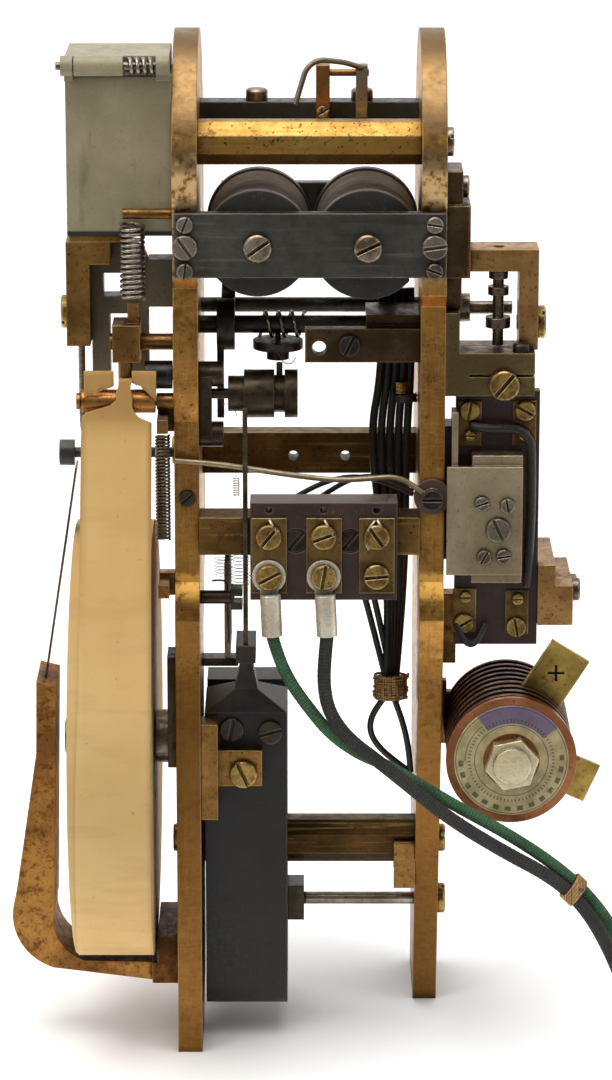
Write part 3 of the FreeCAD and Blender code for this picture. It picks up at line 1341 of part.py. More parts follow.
def main():
    os.makedirs("parts", exist_ok=True)
    for make in NODES:
        shape = make()
        shape.translate(FRAME_SHIFT)
        shape.exportStep(f"parts/{make.__name__}.step")
        solids = len(shape.Solids)
        print(f"{make.__name__:20s} solids {solids:2d} valid {shape.isValid()}"
              f" volume {shape.Volume:10.1f}")


main()
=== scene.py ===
"""Looks for the recording galvanometer mechanism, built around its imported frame."""

import json
import math
import random

import bpy
import bmesh
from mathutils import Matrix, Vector


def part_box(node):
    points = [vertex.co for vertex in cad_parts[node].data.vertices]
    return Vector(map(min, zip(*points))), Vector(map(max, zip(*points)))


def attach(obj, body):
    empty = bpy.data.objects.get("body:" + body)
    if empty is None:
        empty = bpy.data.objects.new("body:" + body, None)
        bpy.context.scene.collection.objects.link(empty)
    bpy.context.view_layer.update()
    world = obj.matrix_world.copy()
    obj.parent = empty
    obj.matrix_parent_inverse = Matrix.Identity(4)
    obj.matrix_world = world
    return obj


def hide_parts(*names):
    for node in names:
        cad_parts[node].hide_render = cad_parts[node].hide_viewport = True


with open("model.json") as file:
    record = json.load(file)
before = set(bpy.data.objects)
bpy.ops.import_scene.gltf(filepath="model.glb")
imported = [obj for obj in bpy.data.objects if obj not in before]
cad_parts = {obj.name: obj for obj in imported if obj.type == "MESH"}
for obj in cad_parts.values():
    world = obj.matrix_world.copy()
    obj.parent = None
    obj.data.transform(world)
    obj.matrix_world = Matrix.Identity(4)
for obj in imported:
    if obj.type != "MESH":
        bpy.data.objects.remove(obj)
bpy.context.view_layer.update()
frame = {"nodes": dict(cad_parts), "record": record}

MM = 0.001
BENCH_Y = -25.0                 # the row frame's Y less the bench's, mm
STACK_AXIS = (0.0602, 0.0932)   # x, z of the rectifier's bolt
PLUS = (0.0738, 0.1152)         # x, z of the mark on its upper tab
TAPE_X = -0.0545                # middle of the tape's width
ROLL_Z = 0.0915                 # height of the roll's axis
CAMERA_REACH = 1.2
CAMERA_TILT = math.radians(15.0)
CAMERA_AIM_Z = 0.158986         # height that the camera looks at
PAPER_THICK = 0.00016


def at(x, y, z):
    """A place given in bench millimetres, as a point of the row frame in metres."""
    return Vector((x, y + BENCH_Y, z)) * MM


# ---- camera, floor and lights ------------------------------------------------------------
def make_camera():
    data = bpy.data.cameras.new("camera")
    data.lens = 137.93
    data.sensor_width = 36.0
    data.clip_end = 30.0
    camera = bpy.data.objects.new("camera", data)
    camera.location = (0.0, BENCH_Y * MM - CAMERA_REACH * math.cos(CAMERA_TILT),
                       CAMERA_AIM_Z + CAMERA_REACH * math.sin(CAMERA_TILT))
    camera.rotation_euler = (math.pi / 2 - CAMERA_TILT, 0.0, 0.0)
    bpy.context.scene.collection.objects.link(camera)
    bpy.context.scene.camera = camera


def soft_box(name, place, target, size, power, tint=(1, 1, 1)):
    data = bpy.data.lights.new(name, "AREA")
    data.shape = "SQUARE"
    data.size = size
    data.energy = power
    data.color = tint
    light = bpy.data.objects.new(name, data)
    light.location = place
    light.rotation_euler = (Vector(target) - Vector(place)).to_track_quat("-Z", "Y").to_euler()
    bpy.context.scene.collection.objects.link(light)


def ramp(tree, value, low, high, out_low, out_high, kind="LINEAR"):
    node = tree.nodes.new("ShaderNodeMapRange")
    node.interpolation_type = kind
    for key, number in (("From Min", low), ("From Max", high), ("To Min", out_low),
                        ("To Max", out_high)):
        node.inputs[key].default_value = number
    tree.links.new(value, node.inputs["Value"])
    return node.outputs[0]


def make_studio():
    scene = bpy.context.scene
    scene.view_settings.view_transform = "Standard"
    world = bpy.data.worlds.new("studio")
    scene.world = world
    world.use_nodes = True
    tree = world.node_tree
    back = tree.nodes["Background"]
    where = tree.nodes.new("ShaderNodeTexCoord")
    split = tree.nodes.new("ShaderNodeSeparateXYZ")
    tree.links.new(where.outputs["Generated"], split.inputs[0])
    tree.links.new(ramp(tree, split.outputs["Y"], -1.0, 0.5, 0.1, 0.6), back.inputs["Strength"])
    back.inputs["Color"].default_value = (1.0, 0.99, 0.97, 1)
    soft_box("top", (-0.3, -0.3, 1.9), (0, 0, 0.1), 1.7, 30.0)
    soft_box("key", (-1.3, -1.1, 1.1), (0, 0, 0.16), 0.9, 9.0, (1.0, 0.985, 0.96))
    soft_box("fill", (1.5, -0.7, 0.8), (0.03, 0, 0.15), 0.8, 4.0)
    mesh = bpy.data.meshes.new("floor")
    steps = [(-6.0, 0.0), (1.6, 0.0)]
    for i in range(1, 13):
        turn = math.radians(90.0 * i / 12)
        steps.append((1.6 + 1.2 * math.sin(turn), 1.2 * (1 - math.cos(turn))))
    steps.append((2.8, 6.0))
    verts = [(x, y, z) for y, z in steps for x in (-7.0, 7.0)]
    faces = [(2 * i, 2 * i + 1, 2 * i + 3, 2 * i + 2) for i in range(len(steps) - 1)]
    mesh.from_pydata(verts, [], faces)
    mesh.shade_smooth()
    floor = bpy.data.objects.new("floor", mesh)
    scene.collection.objects.link(floor)
    look = bpy.data.materials.new("floor_paper")
    look.use_nodes = True
    shader = look.node_tree.nodes["Principled BSDF"]
    shader.inputs["Roughness"].default_value = 0.75
    tree = look.node_tree
    spot = tree.nodes.new("ShaderNodeTexCoord")
    parts = tree.nodes.new("ShaderNodeSeparateXYZ")
    tree.links.new(spot.outputs["Object"], parts.inputs[0])
    for socket, near, far in (("Base Color", 0.93, 0.3), ("Emission Color", 1.0, 0.1)):
        fade = ramp(tree, parts.outputs["Y"], -0.3, -0.07, far, near, "SMOOTHSTEP")
        tree.links.new(fade, shader.inputs[socket])
    # The floor's glow is lowered wherever the AO node finds the object close by: a painted contact
    # shadow round the feet.
    shade = tree.nodes.new("ShaderNodeAmbientOcclusion")
    shade.samples = 6
    shade.inputs["Distance"].default_value = 0.12
    glow_with_painted_shadow = ramp(tree, shade.outputs["AO"], 0.3, 0.9, 0.0, 0.42)
    tree.links.new(glow_with_painted_shadow, shader.inputs["Emission Strength"])
    floor.data.materials.append(look)


# ---- a small kit for node materials ------------------------------------------------------
class Look:
    """One node material, in the row frame's metres."""

    def __init__(self, name, metallic=0.0, coat=0.0):
        self.mat = bpy.data.materials.new(name)
        self.mat.use_nodes = True
        self.tree = self.mat.node_tree
        self.shader = self.tree.nodes["Principled BSDF"]
        self.shader.inputs["Metallic"].default_value = metallic
        self.shader.inputs["Coat Weight"].default_value = coat
        self.shader.inputs["Coat Roughness"].default_value = 0.18
        coords = self.add("ShaderNodeTexCoord")
        self.place = coords.outputs["Object"]
        self.uv = coords.outputs["UV"]
        self.split = None
        self.corner = None

    def add(self, kind, **settings):
        node = self.tree.nodes.new(kind)
        for key, value in settings.items():
            setattr(node, key, value)
        return node

    def put(self, socket, value):
        if isinstance(value, bpy.types.NodeSocket):
            self.tree.links.new(value, socket)
        elif socket.type == "RGBA":
            socket.default_value = (*value, 1.0)
        else:
            socket.default_value = value

    def stretched(self, stretch):
        if stretch == (1, 1, 1):
            return self.place
        node = self.add("ShaderNodeMapping")
        self.put(node.inputs["Vector"], self.place)
        node.inputs["Scale"].default_value = stretch
        return node.outputs[0]

    def noise(self, scale, detail=4.0, rough=0.6, stretch=(1, 1, 1)):
        node = self.add("ShaderNodeTexNoise")
        self.put(node.inputs["Vector"], self.stretched(stretch))
        node.inputs["Scale"].default_value = scale
        node.inputs["Detail"].default_value = detail
        node.inputs["Roughness"].default_value = rough
        return node.outputs["Fac"]

    def span(self, value, low, high, out_low=0.0, out_high=1.0):
        node = self.add("ShaderNodeMapRange", interpolation_type="SMOOTHSTEP")
        for key, number in (("From Min", low), ("From Max", high), ("To Min", out_low),
                            ("To Max", out_high)):
            self.put(node.inputs[key], number)
        self.put(node.inputs["Value"], value)
        return node.outputs[0]

    def calc(self, operation, a, b=0.0):
        node = self.add("ShaderNodeMath", operation=operation)
        self.put(node.inputs[0], a)
        self.put(node.inputs[1], b)
        return node.outputs[0]

    def times(self, a, b):
        return self.calc("MULTIPLY", a, b)

    def mix(self, share, a, b):
        node = self.add("ShaderNodeMix", data_type="RGBA")
        self.put(node.inputs[0], share)
        self.put(node.inputs[6], a)
        self.put(node.inputs[7], b)
        return node.outputs[2]

    def over(self, colour, mask, share, tint):
        """A colour with a tint laid over it where the mask is, as strong as share."""
        return self.mix(self.times(mask, share), colour, tint)

    def axis(self, letter):
        if self.split is None:
            self.split = self.add("ShaderNodeSeparateXYZ")
            self.put(self.split.inputs[0], self.place)
        return self.split.outputs[letter]

    def band(self, letter, low, high, soft=0.0015):
        """1 between two places along an axis, in metres, falling to 0 outside."""
        value = self.axis(letter)
        rise = self.span(value, low - soft, low + soft)
        fall = self.span(value, high - soft, high + soft, 1.0, 0.0)
        return self.times(rise, fall)

    def facing(self, letter):
        """How far a face looks along an axis, from -1 to 1."""
        split = self.add("ShaderNodeSeparateXYZ")
        self.put(split.inputs[0], self.add("ShaderNodeNewGeometry").outputs["Normal"])
        return split.outputs[letter]

    def rim(self):
        """1 on a side plate's narrow edge, 0 on its two broad faces."""
        return self.span(self.calc("ABSOLUTE", self.facing("X")), 0.85, 0.6)

    def radius(self, a, b, centre_a, centre_b):
        """Distance from a line along the third axis, in metres."""
        da = self.calc("SUBTRACT", self.axis(a), centre_a)
        db = self.calc("SUBTRACT", self.axis(b), centre_b)
        total = self.calc("ADD", self.times(da, da), self.times(db, db))
        return self.calc("SQRT", total)

    def rounded(self, width):
        if self.corner is None:
            self.corner = self.add("ShaderNodeBevel", samples=4)
            self.corner.inputs["Radius"].default_value = width
        return self.corner.outputs[0]

    def edge(self, width=0.0006):
        """1 along sharp edges, 0 on flat faces."""
        dot = self.add("ShaderNodeVectorMath", operation="DOT_PRODUCT")
        self.put(dot.inputs[0], self.rounded(width))
        self.put(dot.inputs[1], self.add("ShaderNodeNewGeometry").outputs["Normal"])
        return self.span(dot.outputs["Value"], 0.99, 0.86)

    def crevice_shade(self, reach=0.004):
        """1 deep in corners and slots, 0 on open faces: laid over a colour, it paints shade into
        them.
        """
        node = self.add("ShaderNodeAmbientOcclusion", samples=4)
        node.inputs["Distance"].default_value = reach
        return self.span(node.outputs["AO"], 0.85, 0.3)

    def done(self, colour, rough, height=None, depth=0.0001, round_edge=0.0006):
        self.put(self.shader.inputs["Base Color"], colour)
        self.put(self.shader.inputs["Roughness"], rough)
        normal = self.rounded(round_edge) if round_edge else None
        if height is not None:
            bump = self.add("ShaderNodeBump")
            self.put(bump.inputs["Height"], height)
            bump.inputs["Distance"].default_value = depth
            bump.inputs["Strength"].default_value = 1.0
            if normal is not None:
                self.put(bump.inputs["Normal"], normal)
            normal = bump.outputs[0]
        if normal is not None:
            self.put(self.shader.inputs["Normal"], normal)
        return self.mat


def metal(name, light, dark, rough=0.32, wear=0.6, spots=0.6, grain=None, bright=None,
          metallic=1.0, patch=38.0, grime_and_shade=(0.035, 0.022, 0.012)):
    """Worn metal: clouds of tarnish, pits, fine scratches and rubbed edges, with painted shade in
    its corners.
    """
    k = Look(name, metallic)
    cloud = k.noise(patch, 6, 0.62)
    fine = k.noise(310.0, 5, 0.7)
    pits = k.noise(1150.0, 3, 0.6)
    colour = k.mix(k.span(cloud, 0.36, 0.66), dark, light)
    stain = k.times(k.span(fine, 0.52, 0.72), spots)
    colour = k.mix(stain, colour, tuple(0.5 * c for c in dark))
    speck = k.times(k.span(pits, 0.63, 0.72), min(1.0, spots * 1.3))
    colour = k.mix(speck, colour, grime_and_shade)
    streak = k.noise(1.0, 4, 0.6, stretch=grain or (500, 500, 90))
    shine = bright or tuple(min(1.0, 1.35 * c + 0.05) for c in light)
    if grain:
        colour = k.mix(k.span(streak, 0.56, 0.7, 0.0, 0.3), colour, shine)
        colour = k.mix(k.span(streak, 0.44, 0.3, 0.0, 0.35), colour, grime_and_shade)
    colour = k.over(colour, k.edge(), wear * 0.7, shine)
    # Painted shade: corners and slots are darkened towards the grime colour by ambient occlusion.
    colour = k.over(colour, k.crevice_shade(), 0.85, grime_and_shade)
    gloss = k.span(fine, 0.3, 0.72, max(0.05, rough - 0.1), min(1.0, rough + 0.22))
    height = k.calc("ADD", k.times(streak, 0.6), k.times(pits, -0.5))
    return k.done(colour, gloss, height, 0.00006)


def paint(name, colour_a, colour_b, rough=0.42, chip=(0.3, 0.22, 0.12), stains=0.5,
          stain=(0.06, 0.045, 0.03), coat=0.0, drip=None, painted_shadow_below=None):
    """Old paint or lacquer: clouded, stained, specked, rubbed through on its edges; painted shade
    in its corners and, when a height is given, a painted black shadow below it.
    """
    k = Look(name, 0.0, coat)
    cloud = k.noise(30.0, 5, 0.6)
    fine = k.noise(420.0, 4, 0.65)
    colour = k.mix(k.span(cloud, 0.35, 0.68), colour_a, colour_b)
    blot = k.span(k.noise(75.0, 6, 0.72, stretch=drip or (1, 1, 1)), 0.56, 0.74)
    colour = k.over(colour, blot, stains, stain)
    speck = k.span(k.noise(1300.0, 2, 0.5), 0.64, 0.72)
    colour = k.over(colour, speck, stains, stain)
    worn = k.times(k.edge(0.0007), k.span(fine, 0.42, 0.56))
    colour = k.mix(worn, colour, chip)
    # Painted shade: the stain colour is laid into corners and recesses by ambient occlusion.
    colour = k.over(colour, k.crevice_shade(), 0.7, stain)
    # Painted shadow: below the given height the paint turns near-black, standing in for the shadow
    # along the box's lower edge.
    if painted_shadow_below:
        low = k.span(k.axis("Z"), painted_shadow_below + 0.0004, painted_shadow_below - 0.0004)
        colour = k.mix(low, colour, (0.018, 0.016, 0.013))
    gloss = k.span(fine, 0.3, 0.7, rough - 0.08, rough + 0.18)
    return k.done(colour, gloss, fine, 0.00005, 0.0007)


def moulding(name, colour_a, colour_b, rough=0.45, dust=0.3):
    """Dark moulded plastic or fibre with dust on what faces up and pale rubbed edges."""
    k = Look(name)
    cloud = k.noise(60.0, 5, 0.62)
    fine = k.noise(700.0, 4, 0.7)
    colour = k.mix(k.span(cloud, 0.35, 0.7), colour_a, colour_b)
    grey = k.times(k.span(k.facing("Z"), 0.3, 1.0), k.span(fine, 0.3, 0.7))
    colour = k.over(colour, grey, dust, (0.32, 0.27, 0.2))
    colour = k.over(colour, k.span(fine, 0.58, 0.75), 0.4, (0.2, 0.15, 0.1))
    colour = k.over(colour, k.edge(), 0.45, (0.3, 0.2, 0.14))
    gloss = k.span(fine, 0.3, 0.7, rough - 0.1, rough + 0.15)
    return k.done(colour, gloss, fine, 0.00005)


def thread(name, light, dark, axis, pitch=0.0005, rough=0.8):
    """Cotton-covered wire wound in close turns along an axis."""
    k = Look(name)
    turn = k.calc("SINE", k.times(k.axis(axis), 2 * math.pi / pitch))
    fuzz = k.noise(900.0, 4, 0.7)
    cloud = k.noise(45.0, 5, 0.65)
    colour = k.mix(k.span(cloud, 0.38, 0.62), dark, light)
    colour = k.over(colour, k.span(turn, -0.2, -1.0), 0.6, tuple(0.35 * c for c in dark))
    colour = k.over(colour, k.span(fuzz, 0.55, 0.7), 0.4,
                    tuple(min(1, 1.8 * c + 0.02) for c in light))
    across = tuple(1500.0 if letter == axis else 6.0 for letter in "XYZ")
    layers = k.noise(1.0, 3, 0.75, stretch=across)
    colour = k.mix(k.span(layers, 0.5, 0.62, 0.0, 0.6), colour,
                   tuple(min(1, 1.5 * c) for c in light))
    colour = k.mix(k.span(layers, 0.46, 0.34, 0.0, 0.7), colour, tuple(0.3 * c for c in dark))
    height = k.calc("ADD", k.times(turn, 0.5), fuzz)
    return k.done(colour, k.span(fuzz, 0.3, 0.7, rough - 0.1, rough + 0.1), height, 0.00012, 0)


def braid(name, light, dark, fleck):
    """Braided cotton, from the tube's own length and way round."""
    k = Look(name)
    node = k.add("ShaderNodeSeparateXYZ")
    k.put(node.inputs[0], k.uv)
    along = node.outputs[0]
    around = node.outputs[1]
    one = k.calc("SINE", k.times(k.calc("ADD", along, around), 2 * math.pi * 12))
    two = k.calc("SINE", k.times(k.calc("SUBTRACT", along, around), 2 * math.pi * 12))
    weave = k.times(one, two)
    fuzz = k.noise(1500.0, 4, 0.7)
    cloud = k.noise(70.0, 4, 0.6)
    colour = k.mix(k.span(cloud, 0.35, 0.65), dark, light)
    colour = k.mix(k.span(weave, -0.1, -0.9, 0.0, 0.75), colour, tuple(0.35 * c for c in dark))
    colour = k.over(colour, k.span(fuzz, 0.56, 0.7), 0.5, fleck)
    height = k.calc("ADD", weave, k.times(fuzz, 0.8))
    return k.done(colour, k.span(fuzz, 0.3, 0.7, 0.6, 0.85), height, 0.00012, 0)


def roll_look(name):
    """Yellowed paper; the roll's flat faces show its wound edges."""
    k = Look(name)
    fibre = k.noise(1400.0, 4, 0.6)
    cloud = k.noise(22.0, 4, 0.55)
    colour = k.mix(k.span(cloud, 0.3, 0.7), (0.64, 0.41, 0.15), (0.7, 0.48, 0.195))
    high = k.span(k.axis("Z"), 0.10, 0.215)
    colour = k.over(colour, high, 0.55, (0.58, 0.32, 0.075))
    aside = k.calc("ABSOLUTE", k.calc("SUBTRACT", k.axis("X"), TAPE_X))
    brown = k.times(k.span(aside, 0.0078, 0.0101), k.span(k.axis("Z"), 0.12, 0.19))
    brown = k.calc("MAXIMUM", brown, k.times(k.span(k.axis("Z"), 0.188, 0.2), 0.8))
    colour = k.over(colour, brown, 0.55, (0.36, 0.16, 0.035))
    # Painted shade: long soft streaks darkened where creases would shade the paper; the sheet
    # itself is smooth.
    crease_shade = k.span(k.noise(1.0, 3, 0.6, stretch=(30, 30, 150)), 0.5, 0.62, 0.0, 0.22)
    colour = k.mix(crease_shade, colour, (0.5, 0.3, 0.1))
    colour = k.over(colour, k.span(fibre, 0.55, 0.75), 0.2, (0.5, 0.32, 0.14))
    dirt = k.span(k.noise(420.0, 3, 0.6), 0.68, 0.76)
    colour = k.over(colour, dirt, 0.5, (0.3, 0.17, 0.06))
    out = k.radius("Y", "Z", 0.0, ROLL_Z)
    warp = k.calc("ADD", out, k.times(k.noise(60.0, 2, 0.5), 0.0006))
    rings = k.calc("SINE", k.times(warp, 2 * math.pi / 0.0011))
    flat = k.span(k.calc("ABSOLUTE", k.facing("X")), 0.7, 0.95)
    tone = k.times(k.span(rings, 0.2, -1.0), k.times(flat, 0.55))
    colour = k.mix(tone, colour, (0.36, 0.2, 0.075))
    height = k.calc("ADD", fibre, k.times(k.times(rings, flat), 1.5))
    return k.done(colour, k.span(fibre, 0.3, 0.7, 0.62, 0.8), height, 0.00006, 0)


def magnet_look():
    """Satin black enamel with a dull grey bloom, rubbed to grey on its edges."""
    k = Look("magnet_enamel", 0.0)
    k.shader.inputs["Specular IOR Level"].default_value = 0.36
    cloud = k.noise(26.0, 5, 0.6)
    fine = k.noise(800.0, 4, 0.65)
    colour = k.mix(k.span(cloud, 0.35, 0.68), (0.011, 0.01, 0.0095), (0.02, 0.0185, 0.017))
    colour = k.over(colour, k.span(fine, 0.6, 0.75), 0.35, (0.09, 0.085, 0.08))
    colour = k.over(colour, k.edge(), 0.5, (0.16, 0.14, 0.12))
    dust = k.times(k.span(k.facing("Z"), 0.3, 1.0), k.span(fine, 0.35, 0.65))
    colour = k.over(colour, dust, 0.4, (0.2, 0.17, 0.13))
    cap = k.times(k.span(k.axis("Z"), 0.1028, 0.1036), k.span(cloud, 0.42, 0.62))
    colour = k.over(colour, cap, 0.6, (0.085, 0.055, 0.032))
    return k.done(colour, k.span(fine, 0.3, 0.7, 0.36, 0.55), fine, 0.00003, 0.0008)


def side_plate_look():
    """Brass plate: brown-gold, with dark worn patches; painted highlights on its upper front edge
    and fillet, and painted shade on its crown, low down and in its corners.
    """
    k = Look("side_plate_brass", 1.0)
    cloud = k.noise(42.0, 6, 0.66)
    streak = k.noise(1.0, 5, 0.62, stretch=(260, 260, 1500))
    run = k.noise(1.0, 4, 0.6, stretch=(900, 420, 26))
    fine = k.noise(330.0, 5, 0.7)
    pits = k.noise(1000.0, 3, 0.6)
    colour = k.mix(k.span(cloud, 0.34, 0.66), (0.33, 0.15, 0.034), (0.56, 0.28, 0.064))
    colour = k.over(colour, k.span(streak, 0.5, 0.68), 0.28, (0.68, 0.42, 0.15))
    colour = k.over(colour, k.span(run, 0.56, 0.72), 0.4, (0.2, 0.1, 0.03))
    dirt = k.times(k.span(fine, 0.56, 0.7), k.span(cloud, 0.6, 0.42))
    colour = k.over(colour, dirt, 0.7, (0.09, 0.05, 0.02))
    speck = k.span(pits, 0.61, 0.7)
    colour = k.over(colour, speck, 0.8, (0.03, 0.018, 0.01))
    blots = k.span(k.noise(120.0, 6, 0.72), 0.57, 0.68)
    colour = k.over(colour, blots, 0.55, (0.1, 0.05, 0.017))
    scratch = k.span(k.calc("ABSOLUTE", k.calc("SUBTRACT", run, 0.5)), 0.008, 0.0)
    colour = k.over(colour, scratch, 0.4, (0.8, 0.56, 0.26))
    rim = k.rim()
    # Painted highlight: a pale gold band down the upper front edge, where the head catches the
    # light.
    front = k.times(k.band("Z", 0.236, 0.272, 0.004), k.span(fine, 0.62, 0.45))
    front = k.times(front, rim)
    colour = k.over(colour, front, 0.85, (1.0, 0.68, 0.32))
    # Painted shade: the top of the head's edge is dulled to grey-brown, standing in for how it
    # reflects the top light.
    crown_shade = k.times(k.span(k.axis("Z"), 0.272, 0.28), k.times(rim, 0.85))
    colour = k.mix(crown_shade, colour, (0.24, 0.15, 0.07))
    # Painted shade: the plates grow darker brown below the fillet, towards the bottom.
    colour = k.mix(k.span(k.axis("Z"), 0.13, 0.1, 0.0, 0.72), colour, (0.14, 0.06, 0.016))
    worn = k.times(k.band("Z", 0.2665, 0.2735, 0.002), k.span(cloud, 0.46, 0.54))
    worn = k.times(worn, rim)
    colour = k.over(colour, worn, 0.75, (0.07, 0.045, 0.02))
    colour = k.over(colour, k.edge(), 0.45, (0.7, 0.46, 0.2))
    # Painted highlight: a bright yellow band on the fillet, where it faces up into the light.
    fillet_highlight = k.times(k.band("Z", 0.1405, 0.1475, 0.001), k.span(fine, 0.62, 0.5))
    fillet_highlight = k.times(fillet_highlight, rim)
    colour = k.over(colour, fillet_highlight, 0.9, (1.0, 0.55, 0.09))
    # Under both painted highlights the metal is made less metallic, so they stay bright from every
    # side.
    painted_highlights = k.calc("MAXIMUM", front, fillet_highlight)
    k.put(k.shader.inputs["Metallic"], k.span(painted_highlights, 0.0, 1.0, 1.0, 0.35))
    # Painted shade in corners and recesses, by ambient occlusion.
    colour = k.over(colour, k.crevice_shade(), 0.85, (0.05, 0.028, 0.012))
    gloss = k.span(fine, 0.3, 0.72, 0.27, 0.52)
    height = k.calc("ADD", k.times(streak, 0.5), k.times(pits, -0.4))
    return k.done(colour, gloss, height, 0.00005, 0.0005)


def stack_look():
    """The rectifier: oxidised copper discs between black rings."""
    k = Look("stack", 1.0)
    out = k.radius("X", "Z", *STACK_AXIS)
    fine = k.noise(420.0, 5, 0.7)
    cloud = k.noise(60.0, 5, 0.6)
    copper = k.mix(k.span(cloud, 0.36, 0.66), (0.30, 0.115, 0.05), (0.5, 0.22, 0.1))
    copper = k.mix(k.span(fine, 0.56, 0.72, 0.0, 0.7), copper, (0.09, 0.04, 0.022))
    behind = k.span(k.axis("Y"), -0.0275, -0.0268)
    colour = k.mix(k.times(behind, 0.85), copper, (0.035, 0.024, 0.02))
    ring = k.span(out, 0.0172, 0.0158)
    colour = k.over(colour, ring, behind, (0.012, 0.011, 0.011))
    colour = k.over(colour, k.edge(0.0004), 0.5, (0.62, 0.3, 0.16))
    return k.done(colour, k.span(fine, 0.3, 0.72, 0.28, 0.55), fine, 0.00005, 0.0004)


def bar_look(name):
    """Brass bar stock in lit and shaded copies: bright at the top of the frame, with painted shade
    making it brown lower down and darker still near the bottom.
    """
    k = Look(name, 1.0)
    cloud = k.noise(38.0, 6, 0.62)
    fine = k.noise(310.0, 5, 0.7)
    streak = k.noise(1.0, 4, 0.6, stretch=(26, 800, 800))
    # Lit and shaded copies of the same brass: the darker ones used lower down are painted shade.
    bright = k.mix(k.span(cloud, 0.36, 0.66), (0.42, 0.235, 0.055), (0.56, 0.34, 0.09))
    brown = k.mix(k.span(cloud, 0.36, 0.66), (0.11, 0.06, 0.02), (0.27, 0.15, 0.045))
    painted_shade_tone = k.mix(k.span(cloud, 0.36, 0.66), (0.04, 0.022, 0.007), (0.11, 0.06, 0.017))
    brown = k.mix(k.span(k.axis("Z"), 0.1, 0.08), brown, painted_shade_tone)
    colour = k.mix(k.span(k.axis("Z"), 0.2, 0.22), brown, bright)
    colour = k.mix(k.span(streak, 0.54, 0.7, 0.0, 0.35), colour, (0.75, 0.52, 0.22))
    colour = k.mix(k.span(streak, 0.46, 0.32, 0.0, 0.4), colour, (0.14, 0.08, 0.03))
    blots = k.span(k.noise(140.0, 6, 0.75), 0.58, 0.66)
    colour = k.over(colour, blots, 0.7, (0.11, 0.06, 0.02))
    pits = k.span(k.noise(900.0, 3, 0.6), 0.6, 0.68)
    colour = k.over(colour, pits, 0.85, (0.05, 0.03, 0.012))
    colour = k.over(colour, k.edge(), 0.5, (0.7, 0.5, 0.22))
    # Painted shade in corners and recesses, by ambient occlusion.
    colour = k.over(colour, k.crevice_shade(0.006), 0.9, (0.035, 0.022, 0.01))
    return k.done(colour, k.span(fine, 0.3, 0.72, 0.34, 0.58), streak, 0.00005)


def spring_look(name):
    """Spring wire: grey and bright at the top, darker brown on the strips and wires lower down."""
    k = Look(name, 1.0)
    cloud = k.noise(120.0, 5, 0.62)
    fine = k.noise(500.0, 5, 0.7)
    bright = k.mix(k.span(cloud, 0.36, 0.66), (0.24, 0.2, 0.15), (0.46, 0.42, 0.35))
    brown = k.mix(k.span(cloud, 0.36, 0.66), (0.06, 0.042, 0.024), (0.17, 0.125, 0.075))
    # Below this height the same steel is darker brown.
    colour = k.mix(k.span(k.axis("Z"), 0.206, 0.203), bright, brown)
    colour = k.mix(k.span(fine, 0.55, 0.7, 0.0, 0.6), colour, (0.05, 0.03, 0.016))
    # Painted shade in corners and coils, by ambient occlusion.
    colour = k.over(colour, k.crevice_shade(0.002), 0.7, (0.02, 0.014, 0.01))
    return k.done(colour, k.span(fine, 0.3, 0.72, 0.2, 0.42), fine, 0.00004, 0.0003)


def rod_look(name):
    """Plain steel rod with painted shade in its corners; the little block on the lower tie is
    coloured dark.
    """
    k = Look(name, 1.0)
    cloud = k.noise(60.0, 5, 0.62)
    fine = k.noise(500.0, 5, 0.7)
    streak = k.noise(1.0, 4, 0.6, stretch=(30, 900, 900))
    colour = k.mix(k.span(cloud, 0.36, 0.66), (0.2, 0.155, 0.11), (0.44, 0.38, 0.3))
    colour = k.mix(k.span(streak, 0.5, 0.66, 0.0, 0.4), colour, (0.62, 0.57, 0.48))
    # The little block on the lower tie is coloured dark.
    block = k.times(k.span(k.axis("X"), 0.0002, -0.0002), k.span(k.axis("Z"), 0.082, 0.08))
    colour = k.mix(block, colour, (0.05, 0.04, 0.028))
    colour = k.mix(k.span(fine, 0.55, 0.7, 0.0, 0.6), colour, (0.07, 0.045, 0.022))
    # Painted shade in corners and recesses, by ambient occlusion.
    colour = k.over(colour, k.crevice_shade(0.003), 0.8, (0.02, 0.014, 0.01))
    return k.done(colour, k.span(fine, 0.3, 0.72, 0.24, 0.46), streak, 0.00004)


def aged_look(name):
    """Brass brackets: golden brown outside the right plate, with painted shade making them dark
    low between the plates and in their corners.
    """
    k = Look(name, 1.0)
    cloud = k.noise(42.0, 6, 0.64)
    fine = k.noise(330.0, 5, 0.7)
    pits = k.noise(1100.0, 3, 0.6)
    plain = k.mix(k.span(cloud, 0.36, 0.64), (0.2, 0.1, 0.03), (0.42, 0.225, 0.066))
    gold = k.mix(k.span(cloud, 0.36, 0.64), (0.27, 0.14, 0.045), (0.54, 0.3, 0.11))
    painted_shade_tone = k.mix(k.span(cloud, 0.36, 0.64), (0.06, 0.038, 0.02), (0.15, 0.1, 0.052))
    colour = k.mix(k.span(k.axis("X"), 0.0475, 0.0485), plain, gold)
    # Painted shade: low between the plates the brass is swapped for a dark shaded copy.
    inside = k.times(k.band("X", 0.0, 0.0465, 0.0005), k.span(k.axis("Z"), 0.198, 0.2))
    colour = k.mix(inside, colour, painted_shade_tone)
    colour = k.mix(k.span(fine, 0.52, 0.68, 0.0, 0.7), colour, (0.1, 0.05, 0.017))
    colour = k.over(colour, k.span(pits, 0.61, 0.7), 0.85, (0.03, 0.018, 0.01))
    colour = k.over(colour, k.edge(), 0.4, (0.66, 0.44, 0.18))
    # Painted shade in corners and recesses, by ambient occlusion.
    colour = k.over(colour, k.crevice_shade(), 0.85, (0.035, 0.02, 0.01))
    return k.done(colour, k.span(fine, 0.3, 0.72, 0.26, 0.54), pits, -0.00004)


